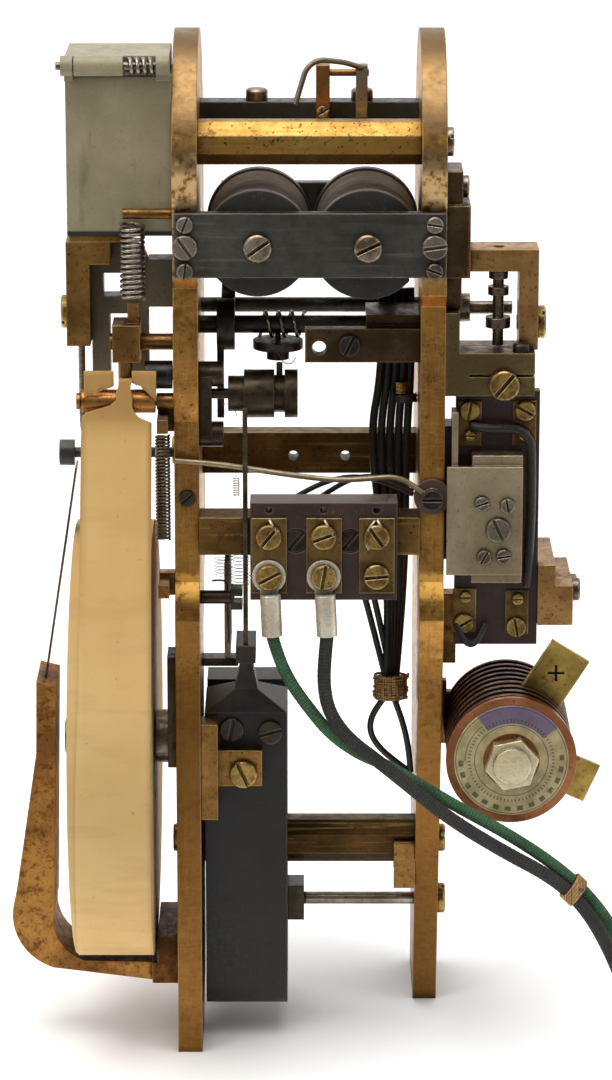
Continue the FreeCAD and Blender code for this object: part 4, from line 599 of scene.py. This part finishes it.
def screw_look(name):
    """Brass screw heads, brown and half polished, with painted shade in their slots; the pair on
    the coils has gone grey.
    """
    k = Look(name, 1.0)
    cloud = k.noise(190.0, 5, 0.65)
    fine = k.noise(700.0, 4, 0.7)
    brass = k.mix(k.span(cloud, 0.36, 0.62), (0.2, 0.11, 0.035), (0.5, 0.33, 0.1))
    grey = k.mix(k.span(cloud, 0.36, 0.62), (0.16, 0.12, 0.085), (0.46, 0.38, 0.29))
    colour = k.mix(k.span(k.axis("Z"), 0.238, 0.242), brass, grey)
    colour = k.mix(k.span(fine, 0.54, 0.68, 0.0, 0.75), colour, (0.06, 0.036, 0.016))
    colour = k.over(colour, k.edge(), 0.6, (0.8, 0.62, 0.34))
    # Painted shade: slots and the corners under the heads are darkened by ambient occlusion.
    colour = k.over(colour, k.crevice_shade(0.002), 0.95, (0.02, 0.012, 0.006))
    return k.done(colour, k.span(fine, 0.3, 0.72, 0.2, 0.5), fine, 0.00006, 0.0003)


def arm_look(name):
    """Rusty-brown cast arm with painted shade in its corners; the block at its foot is darker."""
    k = Look(name, 1.0)
    cloud = k.noise(60.0, 6, 0.66)
    fine = k.noise(420.0, 5, 0.7)
    light = k.mix(k.span(cloud, 0.38, 0.62), (0.22, 0.1, 0.028), (0.42, 0.21, 0.055))
    dark = k.mix(k.span(cloud, 0.38, 0.62), (0.05, 0.022, 0.008), (0.16, 0.07, 0.02))
    # The block at the arm's foot is coloured darker.
    foot = k.span(k.axis("X"), -0.0475, -0.0455)
    colour = k.mix(foot, light, dark)
    colour = k.mix(k.span(fine, 0.5, 0.64, 0.0, 0.7), colour, (0.12, 0.045, 0.012))
    specks = k.span(k.noise(1000.0, 3, 0.6), 0.58, 0.68)
    colour = k.over(colour, specks, 0.75, (0.035, 0.018, 0.008))
    colour = k.over(colour, k.edge(), 0.4, (0.6, 0.36, 0.13))
    # Painted shade in corners and recesses, by ambient occlusion.
    colour = k.over(colour, k.crevice_shade(), 0.8, (0.03, 0.016, 0.008))
    return k.done(colour, k.span(fine, 0.3, 0.7, 0.38, 0.62), fine, 0.00009)


def tab_look(name):
    """Stamped brass with old flux, and a plus mark cut in the rectifier's upper tab."""
    k = Look(name, 1.0)
    cloud = k.noise(70.0, 6, 0.65)
    fine = k.noise(420.0, 5, 0.7)
    dull = k.mix(k.span(cloud, 0.38, 0.62), (0.1, 0.06, 0.022), (0.26, 0.16, 0.055))
    gold = k.mix(k.span(cloud, 0.38, 0.62), (0.36, 0.24, 0.06), (0.62, 0.44, 0.12))
    low = k.span(k.axis("Z"), 0.127, 0.124)
    colour = k.mix(low, dull, gold)
    stain = k.times(k.span(fine, 0.53, 0.68), 0.7)
    colour = k.mix(stain, colour, (0.09, 0.055, 0.025))
    x = k.calc("ABSOLUTE", k.calc("SUBTRACT", k.axis("X"), PLUS[0]))
    z = k.calc("ABSOLUTE", k.calc("SUBTRACT", k.axis("Z"), PLUS[1]))
    upright = k.times(k.span(x, 0.0005, 0.0003), k.span(z, 0.0026, 0.0024))
    level = k.times(k.span(z, 0.0005, 0.0003), k.span(x, 0.0026, 0.0024))
    mark = k.calc("MAXIMUM", upright, level)
    colour = k.mix(mark, colour, (0.02, 0.014, 0.01))
    colour = k.over(colour, k.edge(), 0.5, (0.8, 0.6, 0.25))
    # Painted shade in corners and recesses, by ambient occlusion.
    colour = k.over(colour, k.crevice_shade(), 0.85, (0.04, 0.025, 0.012))
    height = k.calc("SUBTRACT", fine, k.times(mark, 2.0))
    return k.done(colour, k.span(fine, 0.3, 0.7, 0.26, 0.5), height, 0.00006)


def label_look():
    """An aged cream dial ring: plain cells and ticks, one violet cell, no lettering."""
    k = Look("label", 0.0, 0.35)
    cx, cz = STACK_AXIS
    out = k.radius("X", "Z", cx, cz)
    across = k.calc("SUBTRACT", k.axis("X"), cx)
    up = k.calc("SUBTRACT", k.axis("Z"), cz)
    turn = k.calc("ARCTAN2", up, across)
    cloud = k.noise(160.0, 5, 0.65)
    fine = k.noise(900.0, 3, 0.6)
    colour = k.mix(k.span(cloud, 0.35, 0.68), (0.3, 0.24, 0.1), (0.52, 0.43, 0.23))
    violet = k.times(k.span(turn, 0.62, 0.66), k.span(turn, 2.25, 2.2))
    violet = k.times(violet, k.span(out, 0.0112, 0.0114))
    colour = k.over(colour, violet, 0.85, (0.09, 0.055, 0.16))
    ink = None
    for reach in (0.0108, 0.0163, 0.0136):
        line = k.span(k.calc("ABSOLUTE", k.calc("SUBTRACT", out, reach)), 0.00016, 0.00008)
        if reach == 0.0136:
            line = k.times(line, k.span(turn, 2.2, 2.3))
        ink = line if ink is None else k.calc("MAXIMUM", ink, line)
    ticks = k.span(k.calc("SINE", k.times(turn, 72.0)), 0.35, 0.6)
    ticks = k.times(ticks, k.times(k.span(out, 0.0119, 0.0120), k.span(out, 0.0128, 0.0127)))
    bars = k.span(k.calc("SINE", k.times(turn, 26.0)), -0.1, 0.15)
    bars = k.times(bars, k.times(k.span(out, 0.0141, 0.0142), k.span(out, 0.0156, 0.0155)))
    bars = k.times(bars, k.span(turn, 0.3, 0.2))
    bars = k.times(bars, k.span(fine, 0.3, 0.42))
    ink = k.calc("MAXIMUM", ink, k.calc("MAXIMUM", ticks, bars))
    colour = k.over(colour, ink, 0.8, (0.03, 0.024, 0.015))
    # Painted shade where the ring meets the stack, by ambient occlusion.
    colour = k.over(colour, k.crevice_shade(0.003), 0.7, (0.1, 0.06, 0.02))
    return k.done(colour, k.span(cloud, 0.3, 0.7, 0.3, 0.45), fine, 0.00002, 0)


LOOKS = {
    "side_plate_brass": side_plate_look,
    "bar_brass": lambda: bar_look("bar_brass"),
    "black_bar": lambda: paint("black_bar", (0.012, 0.014, 0.012), (0.02, 0.026, 0.02), 0.35,
                               (0.25, 0.2, 0.14), 0.4),
    "bright_steel_rod": lambda: rod_look("steel_rod"),
    "bridge_steel": lambda: metal("bridge_steel", (0.13, 0.125, 0.105), (0.085, 0.082, 0.07), 0.44,
                                  0.8, 0.45, (22, 600, 600), (0.32, 0.3, 0.26)),
    "core_iron": lambda: metal("core_iron", (0.2, 0.18, 0.16), (0.1, 0.09, 0.08), 0.45),
    "coil_end_fibre": lambda: moulding("coil_ends", (0.02, 0.019, 0.017), (0.035, 0.032, 0.027),
                                       0.42, 0.5),
    "coil_winding": lambda: thread("coil_winding", (0.2, 0.145, 0.095), (0.075, 0.056, 0.04),
                                   "Y", 0.0009),
    "armature_steel": lambda: metal("armature", (0.22, 0.2, 0.17), (0.1, 0.085, 0.07), 0.4),
    "post_copper": lambda: metal("post_copper", (0.4, 0.19, 0.07), (0.2, 0.09, 0.035), 0.34),
    "contact_arm_steel": lambda: metal("contact_arm", (0.34, 0.28, 0.2), (0.16, 0.12, 0.08), 0.35),
    "box_paint": lambda: paint("box_paint", (0.28, 0.235, 0.135), (0.38, 0.33, 0.205), 0.4,
                               (0.42, 0.32, 0.2), 0.5, (0.1, 0.075, 0.045), 0.1,
                               (2.2, 2.2, 0.35), 0.2484),
    "arch_paint": lambda: paint("arch_paint", (0.13, 0.115, 0.075), (0.24, 0.21, 0.14), 0.42,
                                (0.5, 0.32, 0.12), 0.75),
    "spring_steel": lambda: spring_look("spring_steel"),
    "aged_brass": lambda: aged_look("aged_brass"),
    "roller_brass": lambda: metal("roller_brass", (0.56, 0.26, 0.075), (0.36, 0.15, 0.04), 0.3,
                                  0.5, 0.4, (900, 120, 120)),
    "roller_steel": lambda: metal("roller_steel", (0.06, 0.062, 0.062), (0.035, 0.036, 0.036), 0.3,
                                  0.5, 0.4, (900, 120, 120)),
    "dark_bronze": lambda: metal("dark_bronze", (0.11, 0.085, 0.055), (0.055, 0.042, 0.028), 0.38,
                                 0.6, 0.7),
    "roll_paper": lambda: roll_look("roll_paper"),
    "core_board": lambda: moulding("core_board", (0.3, 0.2, 0.1), (0.4, 0.28, 0.15), 0.7),
    "arm_iron": lambda: arm_look("arm_iron"),
    "knob_black": lambda: moulding("knob_black", (0.02, 0.02, 0.02), (0.032, 0.03, 0.028), 0.35),
    "rocker_steel": lambda: metal("rocker_steel", (0.1, 0.09, 0.075), (0.05, 0.042, 0.035), 0.38),
    "coil_frame": lambda: metal("coil_frame", (0.4, 0.32, 0.22), (0.24, 0.17, 0.1), 0.4),
    "magnet_black": magnet_look,
    "bakelite": lambda: moulding("bakelite", (0.028, 0.012, 0.009), (0.055, 0.025, 0.019), 0.4,
                                 0.45),
    "tab_brass": lambda: tab_look("tab_brass"),
    "tinned_lug": lambda: metal("tinned_lug", (0.84, 0.77, 0.64), (0.62, 0.54, 0.42), 0.3, 0.5,
                                0.5, metallic=0.55),
    "nickel": lambda: metal("nickel", (0.52, 0.43, 0.28), (0.36, 0.28, 0.17), 0.36, 0.6, 0.45),
    "fibre_brown": lambda: moulding("fibre_brown", (0.085, 0.045, 0.025), (0.13, 0.07, 0.04), 0.5),
    "harness": lambda: moulding("harness", (0.012, 0.012, 0.012), (0.025, 0.022, 0.019), 0.42,
                                0.25),
    "screw_steel": lambda: metal("screw_steel", (0.34, 0.29, 0.23), (0.13, 0.1, 0.07), 0.3, 0.9,
                                 0.8, None, (0.6, 0.52, 0.42)),
    "screw_brass": lambda: screw_look("screw_brass"),
    "screw_dark": lambda: metal("screw_dark", (0.08, 0.068, 0.055), (0.035, 0.03, 0.025), 0.36,
                                0.8, 0.6, None, (0.3, 0.25, 0.19)),
    "olive_brass": lambda: metal("olive_brass", (0.27, 0.2, 0.085), (0.14, 0.1, 0.045), 0.4, 0.7,
                                 0.7),
    "stack_copper": stack_look,
    "label": label_look,
    "bolt_brass": lambda: metal("bolt_brass", (1.0, 0.92, 0.64), (0.8, 0.68, 0.4), 0.28, 0.7,
                                0.5),
    "green_braid": lambda: braid("green_braid", (0.05, 0.15, 0.06), (0.022, 0.075, 0.032),
                                 (0.34, 0.44, 0.28)),
    "black_braid": lambda: braid("black_braid", (0.035, 0.032, 0.028), (0.016, 0.015, 0.014),
                                 (0.14, 0.12, 0.1)),
    "twine": lambda: thread("twine", (0.5, 0.3, 0.1), (0.3, 0.16, 0.05), "X", 0.0007, 0.6),
}
MADE = {}


def look(slot):
    if slot not in MADE:
        MADE[slot] = LOOKS[slot]()
    return MADE[slot]


def dress_frame():
    """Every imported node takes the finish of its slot."""
    for row in frame["record"]["subparts"]:
        mesh = frame["nodes"][row["node"]].data
        mesh.materials.clear()
        mesh.materials.append(look(row["material_slot"]))


# ---- free leads ---------------------------------------------------------------------------
GREEN_R = 1.8
BLACK_R = 2.0
COIL_TURNS = 3
STEPS = 16                       # points in each turn of a coil
GREEN_COIL = (128.0, 42.0, 14.6, 1)
BLACK_COIL = (134.0, -52.0, 16.4, -1)
GREEN_ROUTE = [
    (-9.8, -10.4, 133.3), (-8.1, -11.0, 127.0), (-4.6, -12.0, 119.6), (0.3, -12.7, 112.6),
    (6.8, -13.2, 104.4), (14.8, -13.3, 98.4), (22.4, -13.2, 95.2), (30.4, -13.4, 90.6),
    (43.0, -14.0, 82.8), (59.5, -14.6, 73.8), (74.6, -15.0, 63.4), (84.2, -15.3, 53.8),
    (91.4, -14.2, 42.6), (96.2, -10.6, 29.6), (99.4, -4.0, 17.6), (101.2, 5.2, 8.6),
    (102.2, 16.4, 3.2), (102.6, 29.0, 1.9), (102.6, 42.0, GREEN_R)]
BLACK_ROUTE = [
    (6.1, -10.4, 133.3), (5.4, -11.2, 126.4), (5.1, -12.8, 119.0), (6.6, -15.0, 111.4),
    (12.0, -17.4, 104.2), (21.2, -18.6, 97.4), (30.3, -18.2, 89.6), (41.4, -17.6, 80.0),
    (56.6, -17.6, 70.2), (72.65, -17.85, 61.45), (82.25, -18.15, 51.85), (89.6, -19.2, 38.6),
    (94.6, -21.0, 25.5), (98.6, -24.4, 14.2), (102.0, -30.6, 5.8), (104.6, -40.0, 2.4),
    (105.6, -52.0, BLACK_R)]


def link(name, data):
    obj = bpy.data.objects.new(name, data)
    bpy.context.scene.collection.objects.link(obj)
    return obj


def coil_points(place, radius):
    """Flat turns from the outside in, a diameter apart."""
    x, y, inner, way = place
    points = []
    for i in range(1, COIL_TURNS * STEPS + 1):
        share = i / STEPS
        reach = inner + (COIL_TURNS - share) * 2 * radius
        turn = math.pi - way * 2 * math.pi * share
        points.append((x + reach * math.cos(turn), y + reach * math.sin(turn), radius))
    return points


def spline_line(points):
    """The smooth line that a NURBS spline draws through its control points."""
    curve = bpy.data.curves.new("route", "CURVE")
    curve.dimensions = "3D"
    curve.resolution_u = 10
    spline = curve.splines.new("NURBS")
    spline.points.add(len(points) - 1)
    for point, place in zip(spline.points, points):
        point.co = (*at(*place), 1.0)
    spline.order_u = 3
    spline.use_endpoint_u = True
    holder = link("route", curve)
    bpy.context.view_layer.update()
    mesh = bpy.data.meshes.new_from_object(holder)
    line = [v.co.copy() for v in mesh.vertices]
    bpy.data.objects.remove(holder)
    bpy.data.meshes.remove(mesh)
    return line


def even(line, step):
    """The same line as points a step apart."""
    out = [line[0]]
    carry = 0.0
    for a, b in zip(line, line[1:]):
        run = (b - a).length
        place = step - carry
        while place < run:
            out.append(a.lerp(b, place / run))
            place += step
        carry = run - (place - step)
    if (out[-1] - line[-1]).length > step * 0.3:
        out.append(line[-1])
    return out


def tube(name, line, radius, sides=20, weave=0.0, pitch=0.006):
    """A tube swept along a line; weave is the height of its braid in metres."""
    mesh = bpy.data.meshes.new(name)
    work = bmesh.new()
    uv = work.loops.layers.uv.new("UVMap")
    side = Vector((0.3, 0.2, 1.0))
    rings = []
    run = 0.0
    runs = []
    for i, point in enumerate(line):
        before = line[max(i - 1, 0)]
        after = line[min(i + 1, len(line) - 1)]
        way = (after - before).normalized()
        side = (side - way * side.dot(way)).normalized()
        up = way.cross(side)
        if i:
            run += (point - line[i - 1]).length
        runs.append(run)
        ring = []
        for j in range(sides):
            turn = 2 * math.pi * j / sides
            lift = weave * math.sin(8 * turn + 2 * math.pi * run / pitch * 2) * \
                math.sin(8 * turn - 2 * math.pi * run / pitch * 2)
            out = side * math.cos(turn) + up * math.sin(turn)
            ring.append(work.verts.new(point + out * (radius + lift)))
        rings.append(ring)
    for i in range(len(rings) - 1):
        for j in range(sides):
            k = (j + 1) % sides
            face = work.faces.new((rings[i][j], rings[i][k], rings[i + 1][k], rings[i + 1][j]))
            face.smooth = True
            values = ((runs[i], j), (runs[i], j + 1), (runs[i + 1], j + 1), (runs[i + 1], j))
            for loop, (length, round_) in zip(face.loops, values):
                loop[uv].uv = (length / pitch / 4, round_ / sides)
    work.faces.new(reversed(rings[0]))
    work.faces.new(rings[-1])
    work.normal_update()
    work.to_mesh(mesh)
    work.free()
    return link(name, mesh)


def finish_piece(piece, slot, body="chassis"):
    if not piece.data.materials:
        piece.data.materials.append(look(slot))
    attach(piece, body)
    return piece


def make_lead(name, route, coil, radius, slot, length):
    points = route + coil_points(coil, radius)
    line = even(spline_line(points), 0.0006)
    piece = tube(name, line, radius * MM - 0.00003, 32, 0.00006)
    finish_piece(piece, slot)
    total = sum((b - a).length for a, b in zip(line, line[1:]))
    print(f"{name}: {total:.4f} m, declared {length}")
    return piece, line


def make_tie(green, black):
    """Waxed twine wound round both leads where they run side by side, and its knot."""
    lo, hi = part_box("twine_tie")
    middle = (lo + hi) / 2
    g = min(green, key=lambda p: (p - middle).length)
    b = min(black, key=lambda p: (p - middle).length)
    i = green.index(g)
    way = (green[i + 4] - green[i - 4]).normalized()
    centre = (g + b) / 2
    across = b - g
    across -= way * across.dot(way)
    half = across.length / 2
    across.normalize()
    third = way.cross(across)
    line = []
    turns = 5.5
    for k in range(int(turns * 40) + 1):
        turn = 2 * math.pi * k / 40
        share = k / (turns * 40)
        wide = half + 2.55 * MM
        tall = 2.5 * MM
        line.append(centre + way * (share - 0.5) * 4.2 * MM + across * wide * math.cos(turn)
                    + third * tall * math.sin(turn))
    piece = tube("twine_binding", line, 0.42 * MM, 8)
    knot = tube("twine_knot", [centre - third * 2.5 * MM + across * (t - 0.5) * 2.4 * MM
                               + way * math.sin(t * 6.3) * 0.7 * MM
                               - third * math.sin(t * 3.14) * 0.9 * MM
                               for t in [n / 14 for n in range(15)]], 0.5 * MM, 8)
    for part in (piece, knot):
        finish_piece(part, "twine")
    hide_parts("twine_tie")
    return [piece, knot]


def make_leads():
    green, green_line = make_lead("green_braided_lead", GREEN_ROUTE, GREEN_COIL, GREEN_R,
                                  "green_braid", 0.585)
    black, black_line = make_lead("black_braided_lead", BLACK_ROUTE, BLACK_COIL, BLACK_R,
                                  "black_braid", 0.604)
    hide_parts("green_lead", "green_lead_coil")
    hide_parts("black_lead", "black_lead_coil")
    tie = make_tie(green_line, black_line)


# ---- paper -----------------------------------------------------------------------------
def sheet_piece(name, grid, slot):
    """A thin sheet through a grid of points, row by row."""
    rows, columns = len(grid), len(grid[0])
    verts = [p for row in grid for p in row]
    faces = []
    for i in range(rows - 1):
        for j in range(columns - 1):
            a = i * columns + j
            faces.append((a, a + 1, a + columns + 1, a + columns))
    mesh = bpy.data.meshes.new(name)
    mesh.from_pydata(verts, [], faces)
    mesh.shade_smooth()
    piece = link(name, mesh)
    solid = piece.modifiers.new("thickness", "SOLIDIFY")
    solid.thickness = PAPER_THICK
    solid.offset = 0.0
    return finish_piece(piece, slot)


SHOULDER_Z = 194.0       # where the tape starts to narrow, mm
NECK_Z = 207.0           # where the neck is torn off
TAPE_SIDES = (-64.6, -44.4)
NECK_SIDES = (-55.0, -50.2)
TORN_ROWS = 14


def torn_sides(z):
    """Left and right of the torn tape: one side steps in, the other runs out in a curve."""
    step = 0.5 + 0.5 * math.tanh(z - SHOULDER_Z - 4.0)
    left = TAPE_SIDES[0] + (NECK_SIDES[0] - TAPE_SIDES[0]) * step + 0.2 * max(0.0, z - 200.0)
    fade = math.exp(-(z - SHOULDER_Z) / 2.0)
    return left, NECK_SIDES[1] + (TAPE_SIDES[1] - NECK_SIDES[1]) * fade


def make_paper():
    """The tape from under the roll's front up to its torn neck, and the end it was torn from."""
    chance = random.Random(7)
    low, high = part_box("paper_roll")
    centre = (low + high) / 2
    reach = (high.z - low.z) / 2 + 0.0004
    across = 14
    rows = []
    leave = math.radians(157.2)
    steps = 40
    for i in range(steps + 1):
        turn = math.radians(262.0) + (leave - math.radians(262.0)) * i / steps
        y = centre.y + reach * math.cos(turn)
        z = centre.z + reach * math.sin(turn)
        share = i / steps
        rows.append((-0.0681 + 0.0030 * share, -0.0454 + 0.0012 * share, y, z))
    foot = rows[-1]
    head_y = at(0, -0.35, 0).y
    lift = 16
    for i in range(1, lift):
        share = i / lift
        y = foot[2] + (head_y - foot[2]) * share
        z = foot[3] + (SHOULDER_Z * MM - foot[3]) * share
        rows.append((foot[0] + 0.0004 * share, foot[1] - 0.0002 * share, y, z))
    for i in range(TORN_ROWS):
        z = SHOULDER_Z + (NECK_Z - SHOULDER_Z) * i / (TORN_ROWS - 1)
        left, right = torn_sides(z)
        rows.append((left * MM, right * MM, head_y, z * MM))
    grid = []
    for n, (x0, x1, y, z) in enumerate(rows):
        torn = n >= len(rows) - TORN_ROWS + 2
        row = []
        for j in range(across + 1):
            share = j / across
            x = x0 + (x1 - x0) * share
            wave = 0.00012 * math.sin(x * 700 + z * 90) if n > steps else 0.0
            if torn and j in (0, across):
                x += chance.uniform(-0.0003, 0.0003)
                z += chance.uniform(-0.0003, 0.0003)
            row.append(Vector((x, y + wave, z)))
        grid.append(row)
    tape = sheet_piece("paper_tape_sheet", grid, "roll_paper")
    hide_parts("paper_tape")
    ends = []
    for x0, x1, left, right in ((-63.8, -55.2, 202.0, 204.6), (-50.0, -43.0, 205.4, 200.2)):
        count = 18
        columns = []
        for j in range(count + 1):
            share = j / count
            x = x0 + (x1 - x0) * share
            bottom = left + (right - left) * share ** 1.5 + chance.uniform(-0.35, 0.35)
            column = [at(x, 0.15 + 0.25 * abs(math.sin(7 * share)) * (1 - t), bottom
                         + (209.2 - bottom) * t) for t in (0, 0.25, 0.5, 0.75, 1)]
            columns.append(column)
        ends.append(sheet_piece(f"torn_end_{len(ends)}", columns, "roll_paper"))


# ---- wires, springs of fine wire and twine ---------------------------------------------
def wire(name, points, radius, slot, sides=10, step=0.0008, body="chassis"):
    """A smooth round wire through bench points, its radius in millimetres."""
    line = even(spline_line(points), step)
    return finish_piece(tube(name, line, radius * MM, sides), slot, body)


def coil_wire(name, centre, axis, reach, radius, rise, turns, slot, squeeze=1.0, jitter=0.0):
    """A helix of wire round a line along one bench axis."""
    chance = random.Random(len(name))
    line = []
    count = int(turns * 20)
    for i in range(count + 1):
        turn = 2 * math.pi * i / 20
        wide = reach * (1 + jitter * chance.uniform(-1, 1))
        a, b, c = wide * math.cos(turn), squeeze * wide * math.sin(turn), rise * (i / count - 0.5)
        offset = {"X": (c, a, b), "Y": (a, c, b), "Z": (a, b, c)}[axis]
        line.append(at(*(u + v for u, v in zip(centre, offset))))
    return finish_piece(tube(name, line, radius * MM, 6), slot)


LOOM_TOP = (26.5, 36.0, 226.0)      # where the wires leave the coils, bench mm
LOOM_WAIST = (24.0, 34.0, 180.0)    # beside the terminal block
LOOM_KNEE = (27.6, 31.5, 138.0)     # behind the block
LOOM_BINDING = (25.2, 29.8, 105.0)  # inside the twine
LOOM_HOLE = (31.6, 31.0, 78.0)      # where the tails reach the right plate
LOOM_SPREADS = (2.1, 2.8, 1.0, 0.7)  # spacing of the wires at the first four places


def bow(start, end, push, steps=6):
    """Points from start to end, pushed aside most in the middle."""
    line = []
    for i in range(steps + 1):
        share = i / steps
        swell = math.sin(math.pi * share)
        line.append(tuple(a + (b - a) * share + c * swell for a, b, c in zip(start, end, push)))
    return line


def make_harness():
    """The loom from the coils: loose wires, tied twice, down behind the block to the plate."""
    places = (LOOM_TOP, LOOM_WAIST, LOOM_KNEE, LOOM_BINDING)
    for i in range(5):
        line = [(x + (i - 2) * spread, y + 0.5 * (i - 2), z)
                for (x, y, z), spread in zip(places, LOOM_SPREADS)]
        line.insert(1, (line[0][0] + 0.6, line[0][1] - 1.2, 204.0))
        wire(f"loom_wire_{i}", line, 1.2, "harness", 12)
    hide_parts("wiring")
    for i, (side, bulge) in enumerate(((-1.0, -8.5), (0.8, 1.2))):
        x, y, z = LOOM_BINDING
        wire(f"loom_tail_{i}", bow((x + side, y, z - 2), LOOM_HOLE, (bulge, 0, 0)), 0.95,
             "harness", 12)
        wire(f"loom_feed_{i}", bow((15.5 + 3 * i, 27, 142), (x + side, y, z + 2), (0, 1.5, 0)),
             0.95, "harness", 12)
    for i, target in enumerate((-6.0, 4.0)):
        wire(f"block_wire_{i}", bow((31.6, 26 + 3 * i, 166), (target, 18 + 6 * i, 165.5),
                                    (0, 1, 6.5 - i)), 0.8, "harness", 12)
    turn = 7.0
    right, top, front = 65.8, 190.2, 9.2
    elbow = [(right - turn * (1 - math.sin(math.radians(15 * i))), front,
              top - turn * (1 - math.cos(math.radians(15 * i)))) for i in range(1, 6)]
    wire("panel_jumper", [(47.8, front + 0.6, top + 0.5), (52.5, front - 1.6, top), *elbow,
                          (right, front, 168.0), (right - 0.4, front, 155.0),
                          (right - 1.0, front + 0.6, 142.2)], 1.3, "harness", 14)
    wire("panel_loop", bow((44.0, 10.4, 131.0), (53.0, 10.4, 131.0), (0, -1.2, -6.4), 8), 0.95,
         "harness")
    coil_wire("loom_binding_low", (25.4, 29.8, 105.6), "Z", 4.9, 0.45, 7.6, 9, "twine", 0.72,
              0.09)
    coil_wire("loom_binding_cross", (25.2, 29.8, 105.2), "X", 3.9, 0.42, 6.4, 3, "twine", 0.95,
              0.12)
    coil_wire("loom_binding_high", (29.4, 34.6, 193.4), "Z", 3.1, 0.4, 2.4, 4, "harness", 0.9,
              0.06)
    coil_wire("loom_sleeve", (28.0, 33.2, 196.8), "Z", 2.0, 0.42, 3.6, 5, "screw_brass", 0.9)


def make_fine_wires():
    """Bare wire ends at the terminals and hair-fine springs round the moving system."""
    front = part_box("terminal_block")[0].y / MM - BENCH_Y
    for i, x in enumerate((-10.7, 5.1, 20.3)):
        top = 167.4
        wire(f"terminal_wire_{i}", [(x, front + 1.6, top), (x + 0.1, front - 0.6, top),
                                    (x + 0.8, front - 1.5, top - 1.2),
                                    (x + 1.9, front - 2.0, top - 2.9),
                                    (x + 3.0, front - 2.0, top - 5.0),
                                    (x + 2.7, front - 1.5, top - 7.4)], 0.42, "tinned_lug", 8)
    x = 20.3
    wire("terminal_wire_3", [(x, front + 1.4, 167.6), (x - 0.3, front - 0.7, 167.2),
                             (x - 1.6, front - 1.7, 165.8), (x - 3.2, front - 2.0, 163.4),
                             (x - 3.4, front - 1.7, 160.8), (x - 2.2, front - 1.5, 158.6)], 0.35,
         "tinned_lug", 8)
    coil_wire("hair_spring_0", (-20.4, 13.0, 171.6), "Z", 0.9, 0.14, 5.6, 8, "tinned_lug")
    coil_wire("hair_spring_1", (-19.2, 12.0, 146.6), "Z", 2.5, 0.09, 9.5, 9, "spring_steel", 1.0,
              0.12)
    coil_wire("hair_spring_2", (-24.4, 13.0, 147.4), "Z", 2.3, 0.09, 6.0, 6, "spring_steel", 1.0,
              0.14)
    wire("coil_wire_0", [(-27.6, 12, 143.4), (-25.6, 12, 143.6), (-23.4, 12, 143.4),
                         (-23.0, 12, 141), (-22.9, 13, 134), (-22.8, 15, 124)], 0.3,
         "dark_bronze", 8)
    wire("nut_wire", [(-8.4, 20.5, 211.6), (-7.9, 20.4, 208.8), (-6.0, 20.4, 206.6),
                      (-3.8, 20.4, 206.8), (-3.0, 20.5, 208.6)], 0.16, "spring_steel", 8,
         body="rocker_shaft")
    wire("pivot_hair", [(-24.6, 11.4, 196.6), (-22.6, 11.2, 197.2), (-20.8, 11.2, 195.8),
                        (-20.0, 11.2, 193.2)], 0.1, "spring_steel", 6)


def ring_piece(name, centre, inner, outer, thick, slot, sides=96):
    """A flat washer that faces front, with a slightly rounded outer edge."""
    profile = [(inner, 0.0), (outer - 0.3, 0.0), (outer, 0.25), (outer, thick), (inner, thick)]
    work = bmesh.new()
    rings = []
    for i in range(sides):
        turn = 2 * math.pi * i / sides
        rings.append([work.verts.new(at(centre[0] + r * math.cos(turn), centre[1] + d,
                                        centre[2] + r * math.sin(turn))) for r, d in profile])
    for i in range(sides):
        a, b = rings[i], rings[(i + 1) % sides]
        for j in range(len(profile)):
            k = (j + 1) % len(profile)
            work.faces.new((a[j], a[k], b[k], b[j]))
    bmesh.ops.recalc_face_normals(work, faces=work.faces)
    mesh = bpy.data.meshes.new(name)
    work.to_mesh(mesh)
    work.free()
    return finish_piece(link(name, mesh), slot)


def make_rectifier_label():
    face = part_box("rectifier_stack")[0].y / MM - BENCH_Y
    cx, cz = (c / MM for c in STACK_AXIS)
    label = ring_piece("dial_ring", (cx, face - 0.35, cz), 8.3, 16.8, 0.35, "stack_copper")
    label.data.materials.clear()
    label.data.materials.append(look("label"))
    coil_wire("stack_binding", (cx, face + 2.9, cz), "Y", 18.2, 0.55, 1.6, 2, "harness")


make_camera()
make_studio()
dress_frame()
make_leads()
make_paper()
make_harness()
make_fine_wires()
make_rectifier_label()
